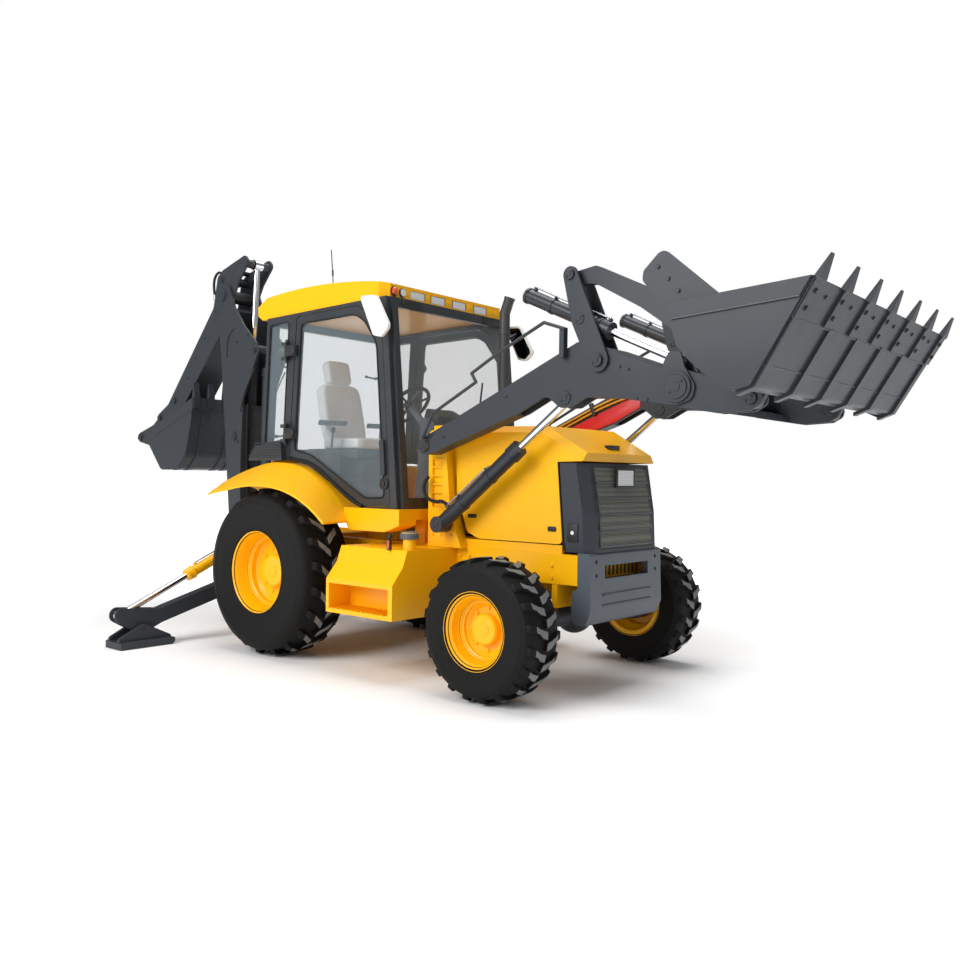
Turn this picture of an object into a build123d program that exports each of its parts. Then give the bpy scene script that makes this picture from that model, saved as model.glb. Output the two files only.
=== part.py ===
"""Backhoe loader: every rigid piece as its own solid or group of solids, one STEP file per node.

Frame: +X forward, +Y to the machine's left, +Z up, millimetres. The origin is on the ground,
below the middle of the rear axle. Rows named "x, z, corner" are side outlines: a corner point and
the radius that rounds it.
"""
from build123d import *
import math
import os

# ---------------------------------------------------------------- clearances
FIT = 0.3            # running gap at a pin, a seat or a pane's rabbet
SIDE_GAP = 6.0       # gap beside a moving plate

# ---------------------------------------------------------------- wheels and axles
WHEELBASE = 2240.0
REAR_TYRE_R, REAR_TYRE_W, REAR_BEAD_R, REAR_WHEEL_Y = 657.0, 490.0, 305.0, 880.0
REAR_LUGS, REAR_LUG_H, REAR_LUG_W = 21, 39.0, 60.0
FRONT_TYRE_R, FRONT_TYRE_W, FRONT_BEAD_R, FRONT_WHEEL_Y = 460.0, 352.0, 222.0, 930.0
FRONT_LUGS, FRONT_LUG_H, FRONT_LUG_W = 20, 28.0, 46.0
FLANGE_RISE = 28.0   # rim flange above the bead seat
RIM_WALL = 12.0
HUB_BORE_R = 26.0    # stub that centres the wheel disc
KINGPIN_Y = 720.0
KINGPIN_R = 26.0
KNUCKLE_EAR_GAP = 120.0

# ---------------------------------------------------------------- frame
RAIL_Y, RAIL_W, RAIL_LOW, RAIL_TOP = 418.0, 70.0, 720.0, 920.0
RAIL_FRONT, RAIL_REAR = WHEELBASE + 334.7, -963.0
TOWER_FRONT, TOWER_REAR = 1500.0, 1290.0
TOWER_IN, TOWER_OUT = 455.0, 520.0
HOOD_HALF_W = 450.0
HOOD_REAR, SCUTTLE_FRONT = 1506.0, 1490.0
HOOD_HINGE = (1512.0, 1775.0)
HOOD_HINGE_R, HOOD_HINGE_Y = 6.0, 320.0
SHEET = 5.0          # sheet metal of hood, cowl and scuttle
BUMPER_HALF_W = 453.0
BUMPER_BOLT_Y, BUMPER_BOLT_Z, BUMPER_BOLT_R = 375.0, (790.0, 880.0), 13.0

# ---------------------------------------------------------------- loader, one side, x and z of its pins
ARM_Y, ARM_W, ARM_PLATE = 595.0, 120.0, 16.0
ARM_PIVOT = (1374.0, 1640.0)
LIFT_BASE = (1489.0, 1080.0)
LIFT_EYE = (2600.0, 1930.0)
CROSS_TUBE = (3386.0, 1957.0)
BUCKET_PIN = (3824.0, 1878.0)
BELL_PIVOT = (2853.0, 2148.0)
BELL_TRUNNION = (2718.0, 2413.0)
BELL_TOP = (2640.0, 2700.0)
TILT_EYE = (3360.0, 2122.0)
BUCKET_LINK_PIN = (3520.0, 2130.0)
PIN_R = 25.0
ARM_PIN_R = 32.0
LIFT_BARREL_R, LIFT_ROD_R = 52.0, 27.0
LIFT_BARREL_LEN, LIFT_ROD_START = 890.0, 430.0
TILT_BARREL_R, TILT_ROD_R = 48.0, 25.0
TILT_TAIL, TILT_NOSE, TILT_ROD_START = 515.0, 200.0, -150.0
BUCKET_HALF_W = 1140.0
BUCKET_PLATE = 14.0
BUCKET_TEETH = 7

# ---------------------------------------------------------------- backhoe, x and z of its pins
SWING_X = -1330.0
SWING_PIN_R = 40.0
BOOM_BASE = (-1620.0, 660.0)
BOOM_CYL_BASE = (-1380.0, 1000.0)
BOOM_CYL_EYE = (-1352.0, 2610.0)
DIPPER_PIVOT = (-1884.0, 3178.0)
DIPPER_CYL_BASE = (-1670.0, 1784.0)
DIPPER_CYL_EYE = (-1572.0, 3463.0)
BUCKET_CYL_BASE = (-1944.0, 3350.0)
DIPPER_TIP = (-2940.0, 1920.0)
ROCKER_PIVOT = (-2790.0, 2180.0)
ROCKER_END = (-3115.0, 2014.0)
HOE_LINK_PIN = (-3408.0, 1805.0)
BOOM_HALF_W, BOOM_PLATE = 176.0, 20.0
DIPPER_HALF_W, DIPPER_PLATE = 150.0, 20.0
HOE_PIN_R = 28.0
ROCKER_PIN_R = 23.0
HOE_HALF_W = 300.0
HOE_PLATE = 14.0
HOE_TEETH = 4

# ---------------------------------------------------------------- stabilisers, y and z of their pins, right side
STAB_X, STAB_W = -1035.0, 100.0
STAB_GAP, STAB_PLATE = 6.0, 16.0
STAB_PIVOT_R, STAB_CYL_PIN_R, STAB_PAD_PIN_R = 30.0, 24.0, 20.0
STAB_PIVOT = (-450.0, 490.0)
STAB_CYL_BASE = (-420.0, 845.0)
STAB_EYE = (-1667.0, 265.0)
STAB_PAD_PIN = (-1500.0, 150.0)

# ---------------------------------------------------------------- cab
CAB_HALF_W, CAB_WALL = 720.0, 40.0
GLASS = 6.0
CAB_CUT = (CAB_HALF_W - 120.0, CAB_HALF_W + 80.0)      # y range of a cut through a cab side
WINDOW_HALF_W = CAB_HALF_W - 100.0                     # front and rear openings
HINGE_X, HINGE_Y = -120.0, CAB_HALF_W + 25.0
ARCH_Y = REAR_WHEEL_Y - REAR_TYRE_W / 2 - 35.0
FENDER_Y, FENDER_LIP_Y = REAR_WHEEL_Y - 100.0, REAR_WHEEL_Y + REAR_TYRE_W / 2 - 25.0
SILL_Y = CAB_HALF_W + 50.0
FENDER_SHEET = 14.0
FLOOR_Z = 1170.0
SILL_TOP = 1177.7


# ================================================================ helpers
def rounded(before, corner, after, radius):
    """Start, middle and end of the arc that rounds a corner, held within half of either run."""
    to_before, to_after = (before - corner).normalized(), (after - corner).normalized()
    half = math.radians(to_before.get_angle(to_after)) / 2
    reach = min((before - corner).length, (after - corner).length) * 0.48
    reach = min(radius / math.tan(half), reach)
    radius = reach * math.tan(half)
    inward = (to_before + to_after).normalized()
    middle = corner + inward * (reach / math.cos(half) - radius)
    return corner + to_before * reach, middle, corner + to_after * reach


def face_xz(rows):
    """A face from rows of x, z, corner."""
    points = [Vector(x, z) for x, z, _ in rows]
    edges, corners = [], []
    for index, (_, _, radius) in enumerate(rows):
        point = points[index]
        if radius:
            corners.append(rounded(points[index - 1], point, points[(index + 1) % len(points)], radius))
        else:
            corners.append((point, point, point))
    for index, (start, middle, end) in enumerate(corners):
        if start != end:
            edges.append(ThreePointArc(start, middle, end))
        edges.append(Line(end, corners[(index + 1) % len(corners)][0]))
    return make_face(edges)


def slab(rows, y_low, y_high):
    """A side outline, rows or a face, given thickness from y_low to y_high."""
    face = face_xz(rows) if isinstance(rows, (list, tuple)) else rows
    return extrude(Plane.XZ.offset(-y_high) * face, y_high - y_low, dir=(0, -1, 0))


def slab_mid(rows, y_mid, width):
    return slab(rows, y_mid - width / 2, y_mid + width / 2)


def block(x0, x1, y0, y1, z0, z1):
    return Pos((x0 + x1) / 2, (y0 + y1) / 2, (z0 + z1) / 2) * Box(x1 - x0, y1 - y0, z1 - z0)


def rod_y(point, radius, y0, y1):
    """A round bar along Y through point (x, z)."""
    return Pos(point[0], (y0 + y1) / 2, point[1]) * Rot(90, 0, 0) * Cylinder(radius, y1 - y0)


def rod_y_mid(point, radius, y_mid, width):
    return rod_y(point, radius, y_mid - width / 2, y_mid + width / 2)


def rod_x(point, radius, x0, x1):
    """A round bar along X through point (y, z)."""
    return Pos((x0 + x1) / 2, point[0], point[1]) * Rot(0, 90, 0) * Cylinder(radius, x1 - x0)


def rod_z(point, radius, z0, z1):
    """A round bar along Z through point (x, y)."""
    return Pos(point[0], point[1], (z0 + z1) / 2) * Cylinder(radius, z1 - z0)


def bar(start, end, radius):
    """A round bar between two space points."""
    start, end = Vector(*start), Vector(*end)
    run = end - start
    return Plane(start, z_dir=run) * Pos(0, 0, run.length / 2) * Cylinder(radius, run.length)


def mirrored(shape):
    return mirror(shape, Plane.XZ)


def both(shape):
    """The shape with its mirror image on the other side of the machine."""
    return group(shape, mirrored(shape))


def group(*shapes):
    solids = []
    for shape in shapes:
        solids += list(shape.solids())
    return Compound(children=solids)


def fused(*shapes):
    result = shapes[0]
    for shape in shapes[1:]:
        result = result + shape
    return result


def distance(a, b):
    return math.hypot(b[0] - a[0], b[1] - a[1])


def link_face(points, radii):
    """The outline that wraps round circles at the given points."""
    rings = [Pos(p[0], p[1]) * Circle(r) for p, r in zip(points, radii)]
    edges = [ring.edges()[0] for ring in rings]
    return make_hull(edges)


def along(a, b, length, offset=0.0):
    """The point that lies length from a towards b, and offset to the left of that line."""
    run = distance(a, b)
    ux, uz = (b[0] - a[0]) / run, (b[1] - a[1]) / run
    return (a[0] + ux * length - uz * offset, a[1] + uz * length + ux * offset)


def turned(point, centre, degrees):
    """point turned about centre, counter-clockwise in the XZ view."""
    angle = math.radians(degrees)
    dx, dz = point[0] - centre[0], point[1] - centre[1]
    return (centre[0] + dx * math.cos(angle) - dz * math.sin(angle),
            centre[1] + dx * math.sin(angle) + dz * math.cos(angle))


def side_plane(base, eye, y_mid):
    """Plane with x from base to eye, y along the pin and its origin at the base pin."""
    run = Vector(eye[0] - base[0], 0, eye[1] - base[1])
    return Plane((base[0], y_mid, base[1]), x_dir=run, z_dir=run.cross(Vector(0, 1, 0)))


def local_bar(x0, x1, radius):
    return Pos((x0 + x1) / 2, 0, 0) * Rot(0, 90, 0) * Cylinder(radius, x1 - x0)


def local_eye(x, radius, width):
    return Pos(x, 0, 0) * Rot(90, 0, 0) * Cylinder(radius, width)


def make_barrel(plane, tail, nose, radius, rod_r, eye_r, eye_w, pin_r, bottom):
    """A bored cylinder barrel; tail and nose are measured from the plane's origin."""
    body = local_bar(tail + eye_r * 0.6, nose, radius) + local_bar(nose - 70, nose, radius + 7)
    if eye_r:
        body = body + local_eye(0, eye_r, eye_w)
        body = body - local_eye(0, pin_r + FIT, 4 * radius)
    body = body - local_bar(bottom, nose + 1, rod_r + FIT)
    return plane * body


def make_rod(plane, start, eye_x, rod_r, eye_r, eye_w, pin_r):
    """A cylinder rod from its inner end to the centre of its eye."""
    body = local_bar(start, eye_x - eye_r * 0.7, rod_r) + local_eye(eye_x, eye_r, eye_w)
    body = body - local_eye(eye_x, pin_r, eye_w + 2)
    return plane * body


# ================================================================ wheels
def lug_plan(radius, width, lug_w):
    """Plan of one tread bar: offset from the middle plane and distance round the tyre; it lags at the shoulder."""
    out, knee = width / 2 * 0.985, width / 2 * 0.55
    lag = width * 0.24
    half = lug_w / 2
    return [(out, lag - half), (out, lag + half), (knee, lag + half - lag * 0.12), (0, half * 0.9),
            (0, -half * 0.9), (knee, lag - half - lag * 0.12)]


def tread_bars(radius, width, count, height, lug_w):
    """All tread bars about the origin: two rows, half a pitch apart, with sloped ends at the shoulders."""
    flat = (radius ** 2 - (width * 0.24 * 0.93 + lug_w / 2) ** 2) ** 0.5
    base = radius - height * 2.2
    plan = Polygon(*lug_plan(radius, width, lug_w), align=None)
    bar = extrude(Plane.XY.offset(base) * plan, flat - base, dir=(0, 0, 1))
    slope = Polygon((width * 0.36, flat + 1), (width * 0.6, flat + 1), (width * 0.6, base - height),
                    (width * 0.485, base + height * 0.5), align=None)
    cut = extrude(Plane.YZ.offset(-width) * slope, 2 * width, dir=(1, 0, 0))
    bar = Rot(0, 0, 90) * bar - cut
    bars = []
    for index in range(count):
        bars.append(Rot(0, -360 / count * index, 0) * bar)
        bars.append(Rot(0, -360 / count * (index + 0.5), 0) * mirror(bar, Plane.XZ))
    return bars


def tyre(radius, width, bead_r, count, height, lug_w):
    """Tyre, open to the rim, with its tread bars; rows are radius, offset from the middle plane."""
    half = width / 2
    crown = radius - height
    wall = crown - bead_r
    rows = [(bead_r, half * 0.84), (bead_r + wall * 0.5, half), (crown - wall * 0.12, half * 0.92),
            (crown, half * 0.6)]
    inner = [(bead_r, half * 0.72), (bead_r + wall * 0.5, half - 26), (crown - wall * 0.2, half * 0.6)]
    outline = [(r, y) for r, y in rows] + [(r, -y) for r, y in reversed(rows)]
    outline += [(r, -y) for r, y in inner] + [(r, y) for r, y in reversed(inner)]
    section = Polygon(*outline, align=None)
    ring = revolve(Plane.XY * section, Axis.Y)
    return ring.fuse(*tread_bars(radius, width, count, height, lug_w))


def rim(centre, tyre_r, width, bead_r, bulge_r, side):
    """Drop-centre rim with its dished disc; side is -1 on the right, +1 on the left."""
    half = width / 2 * 0.84 + FIT
    seat = bead_r - FIT
    lip = bead_r + FLANGE_RISE
    lip_y = half + FLANGE_RISE / ((tyre_r - bead_r) * 0.45) * width / 2 * 0.16
    well = bead_r - 38
    disc_in, disc_out = -6.0, 12.0
    rows = [(lip, lip_y + 12), (lip, lip_y), (seat, half), (seat, half * 0.62), (well, half * 0.42),
            (well, -half * 0.42), (seat, -half * 0.62), (seat, -half), (lip, -lip_y), (lip, -lip_y - 12),
            (seat - RIM_WALL, -half - 14), (seat - RIM_WALL, -half * 0.6), (well - RIM_WALL, -half * 0.38),
            (well - RIM_WALL, disc_in), (HUB_BORE_R + FIT, disc_in), (HUB_BORE_R + FIT, disc_out),
            (bulge_r * 0.55, disc_out), (bulge_r * 0.55, disc_out + 60), (bulge_r, disc_out + 44),
            (bulge_r, disc_out), (well - RIM_WALL, disc_out), (well - RIM_WALL, half * 0.38),
            (seat - RIM_WALL, half * 0.6), (seat - RIM_WALL, half + 14)]
    section = Polygon(*[(r, side * y) for r, y in rows], align=None)
    ring = revolve(Plane.XY * section, Axis.Y)
    return Pos(*centre) * ring


def rear_axle():
    """Axle housing with its differential and the final drives inside the rims."""
    z = REAR_TYRE_R
    drum_end = REAR_WHEEL_Y - 6.0 - FIT
    housing = Pos(0, 0, z) * Sphere(190)
    housing = fused(housing, rod_y((0, z), RAIL_LOW - z - FIT, -640, 640))
    for side in (-1, 1):
        low, high = sorted((side * 600, side * drum_end))
        stub = sorted((side * drum_end, side * (REAR_WHEEL_Y + 10)))
        housing = fused(housing, rod_y((0, z), 165, low, high), rod_y((0, z), HUB_BORE_R, *stub))
        pad = sorted((side * (RAIL_Y - 60), side * (RAIL_Y + 60)))
        housing = fused(housing, block(-110, 110, pad[0], pad[1], z - 20, RAIL_LOW - FIT))
    nose = Pos(190, 0, z) * Rot(0, 90, 0) * Cone(110, 70, 160)
    return fused(housing, nose)


def front_axle():
    """Steered drive axle: beam, centre pivot block and the forks that hold the kingpins."""
    x, z = WHEELBASE, FRONT_TYRE_R
    beam = rod_y((x, z), 70, -KINGPIN_Y + 95, KINGPIN_Y - 95)
    beam = fused(beam, Pos(x, 0, z) * Sphere(135))
    beam = fused(beam, block(x - 120, x + 120, -70, 70, z, RAIL_LOW - 101))
    for side in (-1, 1):
        for z0, z1 in ((z - KNUCKLE_EAR_GAP / 2 - 34, z - KNUCKLE_EAR_GAP / 2),
                       (z + KNUCKLE_EAR_GAP / 2, z + KNUCKLE_EAR_GAP / 2 + 34)):
            ear = block(x - 52, x + 52, *sorted((side * 560, side * KINGPIN_Y)), z0, z1)
            ear = fused(ear, rod_z((x, side * KINGPIN_Y), 52, z0, z1))
            beam = fused(beam, ear)
        web = block(x - 52, x + 52, *sorted((side * 560, side * 610)),
                    z - KNUCKLE_EAR_GAP / 2 - 34, z + KNUCKLE_EAR_GAP / 2 + 34)
        beam = fused(beam, web)
        hole = rod_z((x, side * KINGPIN_Y), KINGPIN_R + FIT, z - 200, z + 200)
        beam = beam - hole
    return beam


def knuckle(side):
    """Steering knuckle: kingpin, yoke block, drum and the stub that carries the wheel."""
    x, z = WHEELBASE, FRONT_TYRE_R
    y = side * KINGPIN_Y
    half = KNUCKLE_EAR_GAP / 2
    body = rod_z((x, y), KINGPIN_R, z - half - 40, z + half + 40)
    body = fused(body, rod_z((x, y), 48, z - half + 2, z + half - 2))
    drum_end = FRONT_WHEEL_Y - 6.0 - FIT
    body = fused(body, rod_y((x, z), 56, *sorted((y, side * (KINGPIN_Y + 110)))))
    body = fused(body, rod_y((x, z), 120, *sorted((side * (KINGPIN_Y + 75), side * drum_end))))
    body = fused(body, rod_y((x, z), HUB_BORE_R, *sorted((side * drum_end, side * (FRONT_WHEEL_Y + 10)))))
    arm = block(x - 190, x - 20, *sorted((side * (KINGPIN_Y - 15), side * (KINGPIN_Y + 15))), z - 20, z + 10)
    return fused(body, arm)


# ================================================================ frame and engine bay
def main_frame():
    """Ladder frame with the loader towers, the scuttle and the rear frame that carries the backhoe."""
    rails = block(RAIL_REAR, RAIL_FRONT, RAIL_Y - RAIL_W / 2, RAIL_Y + RAIL_W / 2, RAIL_LOW, RAIL_TOP)
    frame = fused(rails, mirrored(rails))
    half = RAIL_Y + RAIL_W / 2
    for x0, x1, z0, z1 in ((WHEELBASE + 200, WHEELBASE + 280, 740, 900), (1560, 1640, 740, 900), (560, 640, 740, 900),
                           (-440, -360, 740, 900)):
        frame = fused(frame, block(x0, x1, -half + 10, half - 10, z0, z1))
    # saddle that the front axle rocks under
    frame = fused(frame, block(WHEELBASE - 170, WHEELBASE - 125, -half + 10, half - 10, 560, 760))
    frame = fused(frame, block(WHEELBASE + 125, WHEELBASE + 170, -half + 10, half - 10, 560, 760))
    frame = fused(frame, rod_x((0, 590), 30, WHEELBASE - 170, WHEELBASE - 120.5))
    frame = fused(frame, rod_x((0, 590), 30, WHEELBASE + 120.5, WHEELBASE + 170))
    tower = slab([(TOWER_REAR, RAIL_TOP - 8, 0), (1620, RAIL_TOP - 8, 0), (1560, 1030, 60), (TOWER_FRONT, 1240, 60),
                  (1450, 1735, 60), (1400, 1760, 30), (TOWER_REAR, 1760, 40)], TOWER_IN - 30, TOWER_OUT)
    tower = tower - block(TOWER_REAR + 40, TOWER_FRONT - 70, TOWER_OUT - 18, TOWER_OUT + 1, 1200, 1560)
    arm_pin = rod_y(ARM_PIVOT, ARM_PIN_R, TOWER_OUT - 20, ARM_Y + ARM_W / 2 + 12)
    lift_pin = rod_y(LIFT_BASE, PIN_R, TOWER_OUT - 20, ARM_Y + 46)
    side = fused(tower, arm_pin, lift_pin)
    frame = fused(frame, side, mirrored(side))
    skirt = block(1590, WHEELBASE + 200, RAIL_Y - 8, RAIL_Y + 20, RAIL_TOP - 5, 978)
    frame = fused(frame, skirt, mirrored(skirt))
    return fused(frame, rear_frame())


def rear_frame():
    """Box behind the rear axle: two cross plates that carry the stabilisers, and the swing lugs."""
    front = STAB_X + STAB_W / 2 + STAB_GAP
    rear = STAB_X - STAB_W / 2 - STAB_GAP - STAB_PLATE
    half = [(520, 425), (525, 560), (482, 700), (475, 900), (440, 940)]
    outline = [(440, 385)] + half + [(-y, z) for y, z in reversed(half)] + [(-440, 385)]
    body = slab_x(outline, front + STAB_PLATE / 2, STAB_PLATE)
    back = slab_x(outline, rear + STAB_PLATE / 2, STAB_PLATE)
    core = block(rear, front + STAB_PLATE, -325, 325, 400, 925)
    core = core - block(rear + STAB_PLATE, front, -300, 300, 380, 940)
    body = fused(body, back, core)
    cheek = slab([(-620, RAIL_LOW, 0), (-620, 900, 0), (front + 1, 920, 0), (front + 1, 480, 0), (-860, 480, 60)],
                 RAIL_Y - 15, RAIL_Y + 15)
    body = fused(body, cheek, mirrored(cheek))
    for side in (-1, 1):
        for point, pin_r in ((STAB_PIVOT, STAB_PIVOT_R), (STAB_CYL_BASE, STAB_CYL_PIN_R)):
            place = (side * abs(point[0]), point[1])
            body = fused(body, rod_x(place, pin_r, rear - 6, front + STAB_PLATE + 10))
    for z0, z1 in ((395, 445), (860, 910)):
        lug = slab_z([(rear + 2, -200), (rear + 2, 200), (SWING_X + 110, 85), (SWING_X, 85), (SWING_X, -85),
                      (SWING_X + 110, -85)], z0, z1)
        lug = fused(lug, rod_z((SWING_X, 0), 85, z0, z1))
        body = fused(body, lug)
    return body - rod_z((SWING_X, 0), SWING_PIN_R + FIT, 380, 920)


def slab_z(points, z_low, z_high):
    """A plan outline, rows of x and y, given height."""
    face = Polygon(*points, align=None)
    return extrude(Plane.XY.offset(z_low) * face, z_high - z_low, dir=(0, 0, 1))


def scuttle():
    """Fixed cover between the cab and the hood, across the two towers, with the hood's hinge brackets."""
    half = TOWER_IN - 30 - FIT
    outer = slab([(1250, 1000, 0), (SCUTTLE_FRONT, 1000, 0), (SCUTTLE_FRONT, 1784, 0), (1440, 1800, 0),
                  (1250, 1800, 0)], -half, half)
    inner = slab([(1240, 990, 0), (SCUTTLE_FRONT - SHEET, 990, 0), (SCUTTLE_FRONT - SHEET, 1779, 0),
                  (1440, 1795, 0), (1240, 1795, 0)], -half + SHEET, half - SHEET)
    body = outer - inner
    base = (SCUTTLE_FRONT - 3, HOOD_HINGE[1] - 32)
    for side in (-1, 1):
        for offset_y in (-16, 16):
            y = side * HOOD_HINGE_Y + offset_y
            body = fused(body, slab_mid(link_face([HOOD_HINGE, base], [8, 3]), y, 8))
        body = fused(body, rod_y_mid(HOOD_HINGE, HOOD_HINGE_R, side * HOOD_HINGE_Y, 44))
    return body


def front_bumper():
    """Cast counterweight with a slot through it, four bolt recesses and two ribs."""
    x = WHEELBASE
    rows = [(x + 290, 600, 0), (x + 290, 470, 40), (x + 400, 460, 40), (x + 440, 560, 60), (x + 428, 935, 15),
            (x + 335, 935, 0), (x + 335, 700, 0), (x + 290, 680, 0)]
    body = slab(rows, -BUMPER_HALF_W, BUMPER_HALF_W)
    body = body - block(x + 260, x + 460, -275, 275, 765, 850)
    body = body - block(x + 260, x + 380, -360, 360, 640, 900)
    for z in (590, 660):
        body = body + bar((x + 439, -300, z), (x + 439, 300, z), 9)
    for side in (-1, 1):
        for z in BUMPER_BOLT_Z:
            body = body - rod_x((side * BUMPER_BOLT_Y, z), BUMPER_BOLT_R, x + 360, x + 460)
    return body


def edges_along(solid, points, y):
    """Edges of solid at height rows points (x, z) and at y: the straight runs between them."""
    found = []
    for (x0, z0), (x1, z1) in zip(points, points[1:]):
        middle = ((x0 + x1) / 2, y, (z0 + z1) / 2)
        found.append(solid.edges().sort_by_distance(middle)[0])
    return found


def hood_shell(rows, top, half, bevel):
    """A solid with the side outline rows and both edges of its top line bevelled."""
    body = slab(rows, -half, half)
    return chamfer(edges_along(body, top, half) + edges_along(body, top, -half), bevel)


def hood():
    """One-piece tilting hood: top and both side panels, open below and at the rear."""
    half, x = HOOD_HALF_W, WHEELBASE
    top = [(HOOD_REAR, 1790), (x + 50, 1772), (x + 368, 1590)]
    low = [(x + 364, 1535, 0), (x + 160, 1530, 0), (x + 208, 985, 30), (1720, 985, 60), (1610, 1030, 60),
           (HOOD_REAR + 66, 1140, 0), (HOOD_REAR, 1250, 0)]
    outer = hood_shell([(*point, 0) for point in top] + low, top, half, 45)
    top = [(HOOD_REAR - 5, 1785), (x + 49, 1767), (x + 362, 1587)]
    low = [(x + 358, 1500, 0), (x + 240, 1500, 0), (x + 240, 900, 0), (HOOD_REAR - 5, 900, 0)]
    inner = hood_shell([(*point, 0) for point in top] + low, top, half - SHEET, 43)
    body = outer - inner
    for side in (-1, 1):
        tab = block(HOOD_REAR, HOOD_HINGE[0] + 18, side * HOOD_HINGE_Y - 11, side * HOOD_HINGE_Y + 11,
                    HOOD_HINGE[1] - 10, 1787)
        body = fused(body, tab) - rod_y_mid(HOOD_HINGE, HOOD_HINGE_R + FIT, side * HOOD_HINGE_Y, 60)
    return body


COWL_FRONT = [(WHEELBASE + 360, 1524), (WHEELBASE + 415, 1200), (WHEELBASE + 428, 935.3)]
COWL_SHEET = 8.0
COWL_HALF_W = HOOD_HALF_W - 12.0
SIDE_LAMP = [(WHEELBASE + 260, 1020, 8), (WHEELBASE + 310, 1020, 8), (WHEELBASE + 310, 1110, 8),
             (WHEELBASE + 260, 1110, 8)]


def cowl_x(z):
    """Inner face of the cowl's front at height z."""
    (x0, z0), (x1, z1), (x2, z2) = COWL_FRONT
    if z > z1:
        return x1 + (x0 - x1) * (z - z1) / (z0 - z1) - COWL_SHEET
    return x2 + (x1 - x2) * (z - z2) / (z1 - z2) - COWL_SHEET


def front_cowl():
    """Grey nose that frames the grille."""
    half = COWL_HALF_W
    rows = [(WHEELBASE + 168, 1524, 0)] + [(x, z, 0) for x, z in COWL_FRONT] + [(WHEELBASE + 222, 935.3, 0)]
    outer = hood_shell(rows, COWL_FRONT, half, 60)
    front = [(cowl_x(1516), 1516), (cowl_x(1200), 1200), (cowl_x(930), 930)]
    rows = [(WHEELBASE + 140, 1516, 0)] + [(x, z, 0) for x, z in front] + [(WHEELBASE + 140, 930, 0)]
    inner = hood_shell(rows, front, half - COWL_SHEET, 56)
    body = outer - inner - slab(GRILLE_OPENING, -330, 330)
    return body - slab(SIDE_LAMP, -500, 500)


GRILLE_OPENING = [(WHEELBASE + 260, 1500, 0), (WHEELBASE + 520, 1500, 0), (WHEELBASE + 520, 960, 0),
                  (WHEELBASE + 260, 960, 0)]


def radiator_grille():
    """Leaning grille: a backing frame behind the cowl and five louvred panels that stand through it."""
    back = [(cowl_x(z) - FIT, z, 0) for z in (1515, 1200, 945)]
    back += [(cowl_x(z) - 24, z, 0) for z in (945, 1200, 1515)]
    body = slab(back, -350, 350)
    top, low, count = 1492.0, 968.0, 5
    pitch = (top - low) / count
    for row in range(count):
        z1 = top - row * pitch
        z0 = z1 - pitch + 8
        body = fused(body, slab([(cowl_x(z1) - 6, z1, 0), (cowl_x(z1) + 8, z1, 0), (cowl_x(z0) + 18, z0, 0),
                                 (cowl_x(z0) - 6, z0, 0)], -324, 324))
    return body


def engine_block():
    return block(1640 + FIT, WHEELBASE, -230, 230, 780, 1440)


def exhaust_stack():
    """Upright pipe with its outlet bent forward."""
    x, y, r = 1330.0, 290.0, 42.0
    pipe = rod_z((x, y), r, 1800 + FIT, 2740)
    elbow = bar((x, y, 2730), (x + 50, y, 2850), r)
    return fused(pipe, elbow)


# ================================================================ cab
SIDE_ROWS = [(1165, 1178, 0), (1020, 2752, 0), (-410, 2722, 0), (-480, 1560, 0), (-80, 1540, 0), (150, 1496, 0),
             (790, 1178, 0)]
DOOR_ROWS = [(1090, 1200, 40), (985, 2430, 60), (830, 2640, 60), (700, 2710, 60), (-20, 2700, 40), (-98, 1570, 30),
             (160, 1525, 60), (800, 1190, 60)]
DOOR_GLASS_ROWS = [(1030, 1260, 30), (925, 2410, 40), (790, 2590, 40), (680, 2650, 40), (35, 2640, 30),
                   (-35, 1620, 30), (180, 1580, 40), (820, 1250, 40)]
QUARTER_ROWS = [(-180, 1620, 20), (-120, 2670, 20), (-370, 2662, 20), (-430, 1620, 20)]


def grown(rows, gap):
    """The face of rows made larger by gap all round; a negative gap makes it smaller."""
    return offset(face_xz(rows), gap, kind=Kind.INTERSECTION)


def cab_frame():
    """Black cab structure: two side frames, front and rear frames, all with their openings cut."""
    side = slab(SIDE_ROWS, CAB_HALF_W - CAB_WALL, CAB_HALF_W)
    side = side - slab(grown(DOOR_ROWS, SIDE_GAP), *CAB_CUT)
    side = side - slab(QUARTER_ROWS, *CAB_CUT)
    post = [rod_z((HINGE_X, HINGE_Y), 10, z0, z1) for z0, z1 in ((2330, 2520), (1660, 1850))]
    brackets = []
    for z in (2365, 2485, 1695, 1815):
        brackets.append(block(HINGE_X - 45, HINGE_X + 16, CAB_HALF_W - 10, HINGE_Y + 18, z - 14, z + 14))
    side = fused(side, *post, *brackets)
    frame = fused(side, mirrored(side))
    inside = CAB_HALF_W - CAB_WALL + 1
    front = slab([(1195, 1178, 0), (1040, 2752, 0), (1000, 2752, 0), (1155, 1178, 0)], -inside, inside)
    front = front - slab([(1250, 1260, 0), (1090, 2680, 0), (950, 2680, 0), (1100, 1260, 0)],
                         -WINDOW_HALF_W, WINDOW_HALF_W)
    rear = slab([(-480, 1560, 0), (-410, 2722, 0), (-370, 2722, 0), (-440, 1560, 0)], -inside, inside)
    rear = rear - slab([(-500, 1640, 0), (-450, 2660, 0), (-340, 2660, 0), (-390, 1640, 0)],
                       -WINDOW_HALF_W, WINDOW_HALF_W)
    roof_bar = block(-400, 1020, CAB_CUT[0], CAB_HALF_W - 30, 2712, 2722)
    frame = fused(frame, front, rear, roof_bar, mirrored(roof_bar))
    cover = slab([(-590, 1535, 0), (-500, 1650, 40), (-150, 1705, 30), (-135, 1535, 0)],
                 CAB_HALF_W - 1, CAB_HALF_W + 50)
    return fused(frame, cover, mirrored(cover))


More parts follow.
